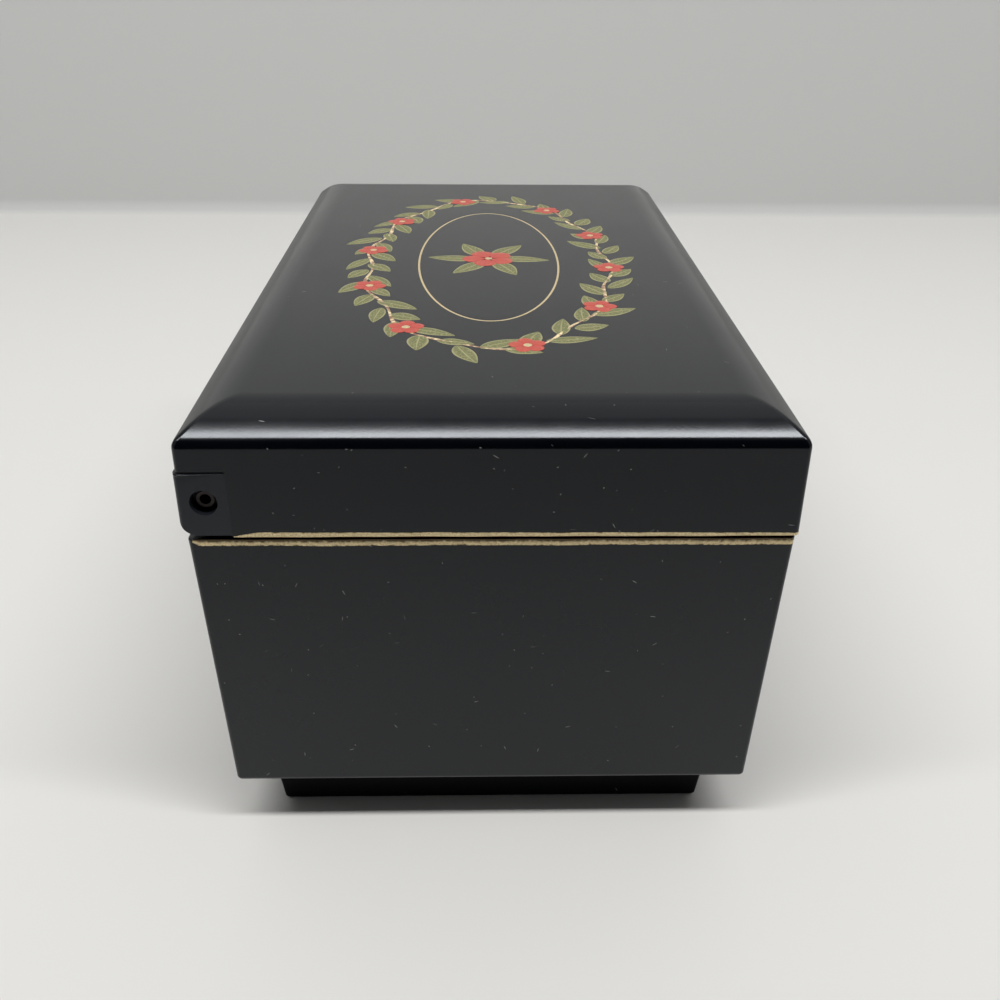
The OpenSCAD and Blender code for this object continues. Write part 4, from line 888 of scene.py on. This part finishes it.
class JEWELBOX_OT_lid(Operator):
    """Lid moulding with its bevelled top, the two hinge blocks and the glue on their seams"""
    bl_idname = "jewelbox.lid"
    bl_label = "Lid and hinge blocks"

    def execute(self, context):
        lid, case = context.scene.jewelbox_lid, context.scene.jewelbox_case
        colours = context.scene.jewelbox_colours
        plastic = moulded_plastic("black_plastic", colours.plastic, colours.scuff, low_gloss=0.115,
                                  high_gloss=0.2, share=0.22)
        dull = moulded_plastic("block_plastic", colours.block, colours.scuff, low_gloss=0.3,
                               high_gloss=0.4, share=0.1)
        block_round = 0.08 * MM
        outside = lid_outside(lid, case)
        moulding = swept("lid_moulding", LID_HALF, np.concatenate([outside, lid_inside(lid, case)]),
                         case.corner)
        carve(moulding, swing_tool(lid, lid.swing_gap), "DIFFERENCE")
        notch_x = end_face(lid) - lid.block_length - case.post_length - 2 * lid.side_gap
        for side, word in ((-1, "left"), (1, "right")):
            carve(moulding, corner_tool(lid, side, notch_x), "DIFFERENCE")
            block = swept("hinge_ear_" + word, LID_HALF, outside, case.corner)
            block.data.transform(Matrix.Translation((0.0, lid.block_proud, 0.0)))
            carve(block, corner_tool(lid, side, end_face(lid) - lid.block_length, lid.crack), "INTERSECT")
            carve(block, swing_tool(lid, lid.block_gap, lid.block_proud), "DIFFERENCE")
            carve(block, hinge_bore(lid, side, lid.pin_bore, 2 * lid.block_length), "DIFFERENCE")
            carve(block, hinge_bore(lid, side, lid.eye, lid.eye_depth), "DIFFERENCE")
            soften(block, block_round, 2)
            level_shading(block)
            dress(block, "lid", dull, "black_plastic", "hinge_block_" + word)
            dress(self.seam_glue(lid, case, side, word), "lid", plastic, "black_plastic")
        level_shading(moulding)
        dress(moulding, "lid", plastic, "black_plastic", "lid_shell")
        return {"FINISHED"}

    def seam_glue(self, lid, case, side, word):
        """A bead on the seam over a hinge block: it runs along the back face, round the corner and thins
        out along the end face, with its radius wandering on the way."""
        seam_z = AXIS_Z + lid.block_rise - lid.glue
        lean = lid.flare * (seam_z - LID_LOW.z) / lid.wall_height
        half = (LID_HALF[0] - lean, LID_HALF[1] - lean)
        turn_at = np.pi / 2 * case.corner
        along_back = turn_at + lid.block_length - case.corner
        step, wander = 0.12 * MM, 0.1 * MM
        _, place, outward = rim_path(half, case.corner, 0.0, along_back, step)
        lead = np.arange(lid.block_depth - case.corner, 0.0, -step)
        ahead = np.stack([np.full_like(lead, half[0]), half[1] - case.corner - lead], -1)
        place = np.concatenate([ahead, place])
        outward = np.concatenate([np.tile([1.0, 0.0], (len(lead), 1)), outward])
        gone = travelled(place)
        full = lid.block_depth - case.corner + turn_at
        swell = np.interp(gone / full, *np.transpose(GLUE_SWELL))
        radius = lid.glue * swell * (0.78 + 0.22 * waver(gone, 3.0))
        path = np.column_stack([place, seam_z + wander * waver(gone, 1.3)])
        outward = np.column_stack([outward, np.zeros(len(outward))])
        if side < 0:
            path, outward = path[::-1] * [-1, 1, 1], outward[::-1] * [-1, 1, 1]
            radius = radius[::-1]
        return tube("seam_glue_" + word, path, outward, radius, 0.7)


class JEWELBOX_OT_case(Operator):
    """Moulded case with its hinge posts, and the recessed plinth"""
    bl_idname = "jewelbox.case"
    bl_label = "Case and plinth"

    def execute(self, context):
        case, lid = context.scene.jewelbox_case, context.scene.jewelbox_lid
        colours = context.scene.jewelbox_colours
        plastic = moulded_plastic("case_plastic", colours.plastic, colours.scuff, low_gloss=0.2,
                                  high_gloss=0.32, share=0.2)
        moulding = self.moulding(case, lid)
        level_shading(moulding)
        dress(moulding, "case", plastic, "black_plastic", "box_body")
        dark = moulded_plastic("plinth_plastic", colours.plinth, colours.scuff, low_gloss=0.5,
                               high_gloss=0.65, share=0.03, specular=0.1)
        dress(self.plinth(context.scene.jewelbox_plinth, case), "case", dark, "plinth_plastic",
              "base_plinth")
        return {"FINISHED"}

    def moulding(self, case, lid):
        """A section from the floor up the inside, over the rim and down to the round bottom edge, carried
        round the case; posts and bosses are joined to it, and holes are cut."""
        rim_z, low_z, edge = rim_height(case), BODY_LOW.z, case.rim_round
        floor_z = low_z + case.floor
        inner = case.wall + case.taper * (1.0 - case.floor / (rim_z - low_z))
        section = np.concatenate([
            [(inner, floor_z)],
            arc((case.wall - edge, rim_z - edge), edge, 0, 90, 4),
            arc((edge, rim_z - edge), edge, 90, 180, 4),
            arc((case.taper + case.edge, low_z + case.edge), case.edge, 180, 270, 8)])
        moulding = swept("case_moulding", RIM_HALF, section, case.corner)
        post_x1 = end_face(lid) - lid.block_length - lid.side_gap
        post_x0 = post_x1 - case.post_length
        near_y, foot_z = AXIS_Y - case.post_radius, rim_z - case.post_drop
        wall_y = RIM_HALF[1] - 0.5 * case.wall - case.taper * case.post_drop / (rim_z - low_z)
        outline = np.concatenate([
            [(near_y, foot_z), (wall_y, foot_z), (wall_y, rim_z - case.rim_round),
             (AXIS_Y + case.post_radius, rim_z - case.rim_round)],
            arc((AXIS_Y, AXIS_Z), case.post_radius, 0, 180, 24)])
        bore = circle((AXIS_Y, AXIS_Z), lid.pin_bore)
        for side in (-1, 1):
            x = sorted([side * post_x0, side * post_x1])
            carve(moulding, prism("tool", outline, x[0], x[1], "X"), "UNION")
            carve(moulding, prism("tool", bore, x[0] - PAST, x[1] + PAST, "X"), "DIFFERENCE")
        screws = np.array([ARBOR_X, ARBOR_Y]) + MOVEMENT_SCREWS
        carve(moulding, rods("tool", screws, case.boss_radius, floor_z - PAST,
                             floor_z + case.boss_height), "UNION")
        holes = np.concatenate([screws, [[ARBOR_X, ARBOR_Y]]])
        radii = [case.screw_hole] * len(screws) + [case.arbor_hole]
        carve(moulding, rods("tool", holes, radii, low_z - PAST, floor_z + case.boss_height + PAST),
              "DIFFERENCE")
        return moulding

    def plinth(self, plinth, case):
        """A frame whose section leans in towards the floor, with four screw bosses webbed to it."""
        high = PLINTH_HIGH.z
        section = np.concatenate([
            [(plinth.taper + plinth.wall, 0.0), (plinth.wall, high), (0.0, high)],
            arc((plinth.taper + plinth.edge, plinth.edge), plinth.edge, 180, 270, 6)])
        frame_piece = swept("plinth_frame", PLINTH_HALF, section, case.corner, loop=True)
        x, y = (half - plinth.screw_in for half in PLINTH_HALF)
        corners = np.array([(x, y), (-x, y), (-x, -y), (x, -y)])
        web_in = 0.1 * MM
        carve(frame_piece, rods("tool", corners, plinth.boss, 0.0, high), "UNION")
        for place_x, place_y in corners:
            web = sorted([place_x, place_x + math.copysign(plinth.screw_in / 2 + PAST, place_x)])
            carve(frame_piece, box((web[0], place_y - plinth.wall / 2, web_in),
                                   (web[1], place_y + plinth.wall / 2, high - web_in)), "UNION")
        carve(frame_piece, rods("tool", corners, plinth.shank_hole, -PAST, high + PAST), "DIFFERENCE")
        carve(frame_piece, rods("tool", corners, plinth.head_hole, -PAST, plinth.seat), "DIFFERENCE")
        return frame_piece


class JEWELBOX_OT_lines(Operator):
    """Gilt lines on the rims of the lid and the case, and the red felt on the case's rim"""
    bl_idname = "jewelbox.lines"
    bl_label = "Gilt lines"

    def execute(self, context):
        scene = context.scene
        lines, case, lid = scene.jewelbox_lines, scene.jewelbox_case, scene.jewelbox_lid
        colours = scene.jewelbox_colours
        step, rim_z = 0.35 * MM, rim_height(case)
        blunt_long, thin_long, slow_long = 1.0 * MM, 4.0 * MM, 34.0 * MM
        start, whole = self.left_end(RIM_HALF, case.corner)
        run, place, outward = rim_path(RIM_HALF, case.corner, start,
                                       start + whole - 1.2 * case.corner, step)
        blunt = np.clip((run - run[0]) / blunt_long, 0.2, 1.0) ** 0.5
        high = rim_z - case.rim_round * (0.35 + 0.2 * waver(run, 0.7))
        low = high - (rim_z - high + lines.case_line + lines.waver * waver(run, 2.9)) * blunt
        lean = (case.taper / (rim_z - BODY_LOW.z), rim_z)
        dress(ribbon("case_line", place, outward, low, high, lean), "case",
              gilding("case_gilt", colours, (0.36, 0.78), (0.14, -0.04)), "brass")
        block_clear, line_up, felt_sunk, felt_short = 0.2 * MM, 0.1 * MM, 0.05 * MM, 0.3 * MM
        skip = LID_HALF[1] - case.corner - (back_face(lid) - lid.block_depth) + block_clear
        start, whole = self.left_end(LID_HALF, case.corner)
        along_back = 2 * (LID_HALF[0] - case.corner) + np.pi * case.corner
        run, place, outward = rim_path(LID_HALF, case.corner, start + skip,
                                       start + whole - along_back - skip, step)
        ends = np.minimum(run - run[0], run[-1] - run)
        taper = np.clip(ends / thin_long, 0.06, 1.0) ** 0.7
        low = LID_LOW.z + case.rim_round * (0.4 + 0.2 * waver(run, 5.1))
        slow = np.cos((run - run[0]) / slow_long)
        width = lines.lid_line + lines.drift * slow + lines.waver * waver(run, 4.4)
        high = LID_LOW.z + line_up + width * taper
        lean = (-lid.flare / lid.wall_height, LID_LOW.z)
        # The lid's line gets a painted shadow line along its upper edge
        dress(ribbon("lid_line", place, outward, low, high, lean), "lid",
              gilding("lid_gilt", colours, (0.8, 1.1)), "brass")
        start, whole = self.left_end(RIM_HALF, case.corner)
        run, place, outward = rim_path(RIM_HALF, case.corner, start + skip,
                                       start + whole - along_back - skip, step)
        level = np.full(len(run), rim_z)
        felt = ribbon("rim_felt", place, outward, level - felt_sunk, level + lines.felt, (0.0, rim_z),
                      felt_short - case.wall, -lines.felt_in)
        dress(felt, "case", velvet("rim_felt", colours.velvet, colours.velvet_pile), "velvet")
        return {"FINISHED"}

    def left_end(self, half, corner):
        """Distance along a rim from its first corner to the rear of its left end, and once round it."""
        straight_x, straight_y = 2 * (half[0] - corner), 2 * (half[1] - corner)
        return np.pi * corner + straight_x, 2 * (np.pi * corner + straight_x + straight_y)


class JEWELBOX_OT_garland(Operator):
    """Painted garland on the lid: an oval of leaves and small flowers round one larger flower"""
    bl_idname = "jewelbox.garland"
    bl_label = "Garland"

    def execute(self, context):
        size, colours = context.scene.jewelbox_garland, context.scene.jewelbox_colours
        self.oval = self.even_oval(size.half_long, size.half_deep)
        dress(self.stems(size), "lid", stem_paint(colours), None)
        dress(self.leaves(size), "lid", leaf_paint(colours), None)
        petals, hearts = self.flowers(size)
        dress(petals, "lid", petal_paint(colours), None)
        gilt = gilding("garland_gilt", colours)
        dress(hearts, "lid", gilt, "brass")
        dress(self.inner_line(size), "lid", gilt, "brass")
        return {"FINISHED"}

    def even_oval(self, half_long, half_deep):
        """Points evenly spaced by distance along an ellipse: a function of a share from 0 to 1."""
        angle = np.linspace(0.0, 2 * np.pi, 1441)
        line = np.stack([half_long * np.cos(angle), half_deep * np.sin(angle)], -1)
        gone = travelled(line)

        def at(share):
            """The point at a share of the way round, and the direction of travel there."""
            place = (np.asarray(share) % 1.0) * gone[-1]
            turned = np.interp(place, gone, angle)
            point = np.stack([half_long * np.cos(turned), half_deep * np.sin(turned)], -1)
            heading = np.arctan2(half_deep * np.cos(turned), -half_long * np.sin(turned))
            return point, heading
        return at

    def bead(self, name, point, heading, half_wide, half_high):
        """A closed flat bead on the lid's top: at each point an ellipse across the way, half_wide by
        half_high."""
        outward = np.stack([np.sin(heading), -np.cos(heading), np.zeros(len(point))], -1)
        angle = np.linspace(0.0, 2 * np.pi, 8, endpoint=False)
        wide = np.broadcast_to(half_wide, len(point))[:, None]
        side = (wide * np.cos(angle))[..., None] * outward[:, None, :]
        rise = half_high * np.sin(angle)[:, None] * np.array([0.0, 0.0, 1.0])
        path = np.column_stack([point, np.full(len(point), LID_TOP)])
        return shell(name, (path[:, None, :] + side + rise)[None], loop=True)

    def stems(self, size):
        """A flattened bead along the oval that sways from side to side of it, once for each flower, and
        swells twice as often."""
        share = np.linspace(0.0, 1.0, 480, endpoint=False)
        point, heading = self.oval(share)
        outward = np.stack([np.sin(heading), -np.cos(heading)], -1)
        sway = 1.1 * MM * np.sin(2 * np.pi * share * size.flowers)
        width = size.stem * (1.0 + 0.25 * np.sin(2 * np.pi * share * size.flowers * 2))
        return self.bead("garland_stem", point + outward * sway[:, None], heading, width,
                         0.8 * size.paint)

    def leaves(self, size):
        """Leaves in turn on each side of the stem, longer and shorter by a slow wave, with a spray of six
        round the middle flower."""
        order = np.arange(size.leaves)
        point, heading = self.oval((order + 0.5) / size.leaves)
        side = np.where(order % 2 == 0, 1.0, -1.0)
        lively = np.sin(order * 2.399)
        angle = heading + side * (0.72 + 0.16 * lively)
        long = size.leaf_long * (0.9 + 0.16 * np.cos(order * 1.7))
        wide = size.leaf_wide * (0.95 + 0.12 * lively)
        sprays, spray_out, leaf_curl, spray_curl = 6, 2.2 * MM, 0.9 * MM, 1.2 * MM
        spray = np.linspace(0.0, 2 * np.pi, sprays, endpoint=False) + np.pi / 6
        middle = spray_out * np.stack([np.cos(spray), np.sin(spray)], -1)
        return blades("garland_leaves", np.concatenate([point, middle]), np.concatenate([angle, spray]),
                      np.append(long, np.full(sprays, 1.25 * size.leaf_long)),
                      np.append(wide, np.full(sprays, 1.2 * size.leaf_wide)), size.paint, leaf_outline,
                      np.append(side * leaf_curl, np.full(sprays, spray_curl)), 0.45,
                      LID_TOP + 0.2 * size.paint * np.append(order % 3, np.ones(sprays)) / 3)

    def flowers(self, size):
        """Five petals round each heart; the flower in the middle is larger."""
        share = (np.arange(size.flowers) + 0.25) / size.flowers
        centres, heading = self.oval(share)
        centres = np.concatenate([centres, [[0.0, 0.0]]])
        scale = np.append(np.ones(size.flowers), 1.7)
        turned = np.append(heading, 0.4)
        count_each, root_out, heart = 5, 0.35 * MM, 0.85 * MM
        petal = np.arange(count_each) * 2 * np.pi / count_each
        angle = (turned[:, None] + petal).ravel()
        out = np.stack([np.cos(angle), np.sin(angle)], -1)
        many = np.repeat(scale, count_each)
        base = np.repeat(centres, count_each, 0) + root_out * many[:, None] * out
        petals = blades("garland_petals", base, angle, size.petal_long * many, size.petal_wide * many,
                        1.5 * size.paint, petal_outline, 0.0, 0.25, LID_TOP + 0.9 * size.paint)
        hearts = domes("garland_hearts", centres, heart, 1.6 * size.paint, LID_TOP + 1.3 * size.paint)
        return petals, hearts

    def inner_line(self, size):
        """A thin gilt oval inside the garland."""
        in_long, in_deep, half_wide = 15.0 * MM, 11.5 * MM, 0.22 * MM
        at = self.even_oval(size.half_long - in_long, size.half_deep - in_deep)
        point, heading = at(np.linspace(0.0, 1.0, 240, endpoint=False))
        return self.bead("garland_line", point, heading, half_wide, 0.5 * size.paint)


class JEWELBOX_OT_linings(Operator):
    """Velvet panels, the padded floor and the ring rolls"""
    bl_idname = "jewelbox.linings"
    bl_label = "Velvet linings"

    PANELS = {
        "front_panel": ("lining_front", "case"), "back_panel": ("lining_back", "case"),
        "left_panel": ("lining_left", "case"), "right_panel": ("lining_right", "case"),
        "partition_panel": ("end_partition", "case"), "divider_panel": ("cross_divider", "case"),
        "deck_panel": ("ring_deck", "case"), "lid_panel": ("lid_lining", "lid"),
    }

    def execute(self, context):
        soft, colours = context.scene.jewelbox_soft, context.scene.jewelbox_colours
        pile = velvet("velvet", colours.velvet, colours.velvet_pile)
        for name, (node, body) in self.PANELS.items():
            panel = self.covered(name, node)
            soften(panel, soft.edge, 4)
            dress(panel, body, pile, "velvet", node)
        pad = self.pad("padded_floor", "floor_pad")
        dress(pad, "case", pile, "velvet", "floor_pad")
        for k in range(1, 5):
            roll = self.roll(f"velvet_roll_{k}", f"ring_roll_{k}", soft)
            dress(roll, "case", pile, "velvet", f"ring_roll_{k}")
        return {"FINISHED"}

    def covered(self, name, node):
        """A copy of a packed panel, with its loose triangles merged into whole faces."""
        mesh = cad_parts[node].data.copy()
        mesh.name = name
        work = bmesh.new()
        work.from_mesh(mesh)
        bmesh.ops.remove_doubles(work, verts=work.verts, dist=0.001 * MM)
        bmesh.ops.dissolve_limit(work, angle_limit=0.01, verts=work.verts, edges=work.edges)
        work.to_mesh(mesh)
        work.free()
        panel = bpy.data.objects.new(name, mesh)
        bpy.context.scene.collection.objects.link(panel)
        return panel

    def pad(self, name, node):
        """A crowned pad: a rounded block whose plan is a power curve of order 18, its section one of
        order 3, and its sides drawn in a little between the corners."""
        low, high = (np.array(corner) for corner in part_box(node))
        middle, half = (low + high) / 2, (high - low) / 2
        angle = np.linspace(np.pi / 2, -np.pi / 2, 61)[1:-1]
        phi = np.linspace(0.0, 2 * np.pi, 96, endpoint=False)

        def power(value, order):
            """A sine or cosine raised to two over the order, with its sign kept."""
            return np.sign(value) * np.abs(value) ** (2.0 / order)
        along = power(np.sin(angle), 18)[:, None]
        shrink = power(np.cos(angle), 18)[:, None]
        drawn = 1.0 - 0.012 * np.cos(np.pi / 2 * along) ** 2
        y = middle[1] + half[1] * drawn * shrink * power(np.cos(phi), 18)
        crown = np.clip(shrink, 0.0, 1.0) ** 0.15 * power(np.sin(phi), 3)
        z = middle[2] + half[2] * crown
        x = np.broadcast_to(middle[0] + half[0] * along, y.shape)
        return shell(name, np.stack([x, y, z], -1)[None])

    def roll(self, name, node, soft):
        """A stuffed roll along X: a circle whose radius closes in an ellipse at the ends, gathered there,
        softly dented along its length, and flat where it lies."""
        low, high = (np.array(corner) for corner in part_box(node))
        radius = (high[1] - low[1]) / 2
        axis_z = high[2] - radius
        turn_in = np.linspace(0.04, np.pi / 2, 14)
        straight = np.linspace(0.0, high[0] - low[0] - 2 * radius, 50)[1:-1]
        x = np.concatenate([low[0] + radius * (1 - np.cos(turn_in)), low[0] + radius + straight,
                            high[0] - radius * (1 - np.cos(turn_in[::-1]))])
        size = np.concatenate([np.sin(turn_in), np.ones(len(straight)), np.sin(turn_in[::-1])])
        gathers, dent_apart = 18, 11.0 * MM
        phi = np.linspace(2 * np.pi, 0.0, 56, endpoint=False)
        near_end = np.clip(1.0 - np.minimum(x - low[0], high[0] - x) / (1.6 * radius), 0.0, 1.0)[:, None]
        gathered = 1.0 - soft.gather * near_end * (1.0 + np.cos(gathers * phi)) / 2
        dented = 1.0 - soft.dent * (1.0 + np.cos(2 * np.pi * (x[:, None] - low[0]) / dent_apart)) / 2
        r = radius * size[:, None] * gathered * dented
        y = (low[1] + high[1]) / 2 + r * np.cos(phi)
        z = np.maximum(axis_z + r * np.sin(phi), low[2])
        return shell(name, np.stack([np.broadcast_to(x[:, None], y.shape), y, z], -1)[None])


class JEWELBOX_OT_mirror(Operator):
    """Mirror in the lid and its gilt frame"""
    bl_idname = "jewelbox.mirror"
    bl_label = "Mirror"

    def execute(self, context):
        colours, case = context.scene.jewelbox_colours, context.scene.jewelbox_case
        paint_nodes(mirror_silver(colours), "mirror_glass")
        low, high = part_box("mirror_frame")
        glass_low, glass_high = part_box("mirror_glass")
        over_glass, sight_round, flat_in, cove, lip, rebate_gap = (
            MM * size for size in (1.6, 0.45, 1.3, 1.5, 0.4, 0.3))
        margin = high.x - glass_high.x
        lap, rebate = margin + over_glass, margin - rebate_gap
        section = np.concatenate([
            [(lap, glass_low.z)],
            arc((lap - sight_round, low.z + sight_round), sight_round, 0, -90, 5),
            [(lap - flat_in, low.z)],
            arc((lip + cove, low.z + cove), cove, -90, -180, 8),
            [(0.0, low.z + cove + lip), (0.0, high.z), (rebate, high.z), (rebate, glass_low.z)]])
        gilt_frame = swept("mirror_moulding", (high.x, high.y), section[::-1], case.corner, loop=True)
        brass = metal("frame_brass", colours.brass, 0.24, 0.4, (400.0, 400.0, 2400.0))
        dress(gilt_frame, "lid", brass, "brass", "mirror_frame")
        return {"FINISHED"}


class JEWELBOX_OT_movement(Operator):
    """Metal, nylon and acrylic of the movement, the screws and the hinge pins"""
    bl_idname = "jewelbox.movement"
    bl_label = "Movement"

    def execute(self, context):
        colours = context.scene.jewelbox_colours
        brass = metal("brass", colours.brass, 0.2, 0.38, (300.0, 2600.0, 2600.0))
        steel = metal("steel", colours.steel, 0.18, 0.36, (2600.0, 300.0, 2600.0))
        zinc = metal("cast_zinc", colours.zinc, 0.38, 0.55, (1500.0, 1500.0, 1500.0))
        dark = metal("blackened_steel", colours.dark_steel, 0.34, 0.5, (400.0, 2600.0, 2600.0))
        cleat = moulded_plastic("cleat_black", colours.plinth, colours.scuff, low_gloss=0.4,
                                high_gloss=0.55, share=0.05)
        paint_nodes(brass, "great_wheel", "winding_key", "tune_cylinder", "cylinder_pinion",
                    "cylinder_wheel", "governor_pinion", "comb_screws", "rod_guide_lower",
                    "rod_guide_upper")
        paint_nodes(steel, "plinth_screws", "movement_screws", "spring_can", "mainspring", "comb",
                    "winding_arbor", "cylinder_arbor", "governor_arbor", "worm_shaft", "stop_rod",
                    "rod_spring")
        paint_nodes(zinc, "movement_bedplate", "governor_bracket")
        paint_nodes(dark, "hinge_pin_left", "hinge_pin_right")
        paint_nodes(white_nylon(colours), "worm_wheel", "fly_vane")
        paint_nodes(clear_acrylic(), "movement_window")
        paint_nodes(cleat, "deck_cleats")
        return {"FINISHED"}


GROUPS = {
    "jewelbox_stage": StageSizes, "jewelbox_colours": Colours, "jewelbox_case": CaseSizes,
    "jewelbox_lid": LidSizes, "jewelbox_plinth": PlinthSizes, "jewelbox_lines": LineSizes,
    "jewelbox_garland": GarlandSizes, "jewelbox_soft": SoftSizes,
}
OPERATORS = (JEWELBOX_OT_stage, JEWELBOX_OT_lid, JEWELBOX_OT_case, JEWELBOX_OT_lines,
             JEWELBOX_OT_garland, JEWELBOX_OT_linings, JEWELBOX_OT_mirror, JEWELBOX_OT_movement)


class JEWELBOX_PT_pieces(Panel):
    """Sidebar list of the pieces, their sizes and their colours"""
    bl_idname = "JEWELBOX_PT_pieces"
    bl_label = "Jewelry box"
    bl_space_type = "VIEW_3D"
    bl_region_type = "UI"
    bl_category = "Jewelry box"

    def draw(self, context):
        """A button for each operator, then the values of each group."""
        for operator in OPERATORS:
            self.layout.operator(operator.bl_idname)
        for name, group in GROUPS.items():
            column = self.layout.column(align=True)
            for size in group.__annotations__:
                column.prop(getattr(context.scene, name), size)


def register():
    """Adds the groups of values, the operators and the panel."""
    for group in GROUPS.values():
        bpy.utils.register_class(group)
    for name, group in GROUPS.items():
        setattr(bpy.types.Scene, name, PointerProperty(type=group))
    for kind in (*OPERATORS, JEWELBOX_PT_pieces):
        bpy.utils.register_class(kind)


def unregister():
    """Takes away what register() added, in the reverse order."""
    for kind in (JEWELBOX_PT_pieces, *reversed(OPERATORS)):
        bpy.utils.unregister_class(kind)
    for name in GROUPS:
        delattr(bpy.types.Scene, name)
    for group in reversed(GROUPS.values()):
        bpy.utils.unregister_class(group)


def main():
    """Makes every piece in order."""
    register()
    bpy.ops.jewelbox.stage()
    bpy.ops.jewelbox.lid()
    bpy.ops.jewelbox.case()
    bpy.ops.jewelbox.lines()
    bpy.ops.jewelbox.garland()
    bpy.ops.jewelbox.linings()
    bpy.ops.jewelbox.mirror()
    bpy.ops.jewelbox.movement()


if __name__ == "__main__":
    main()
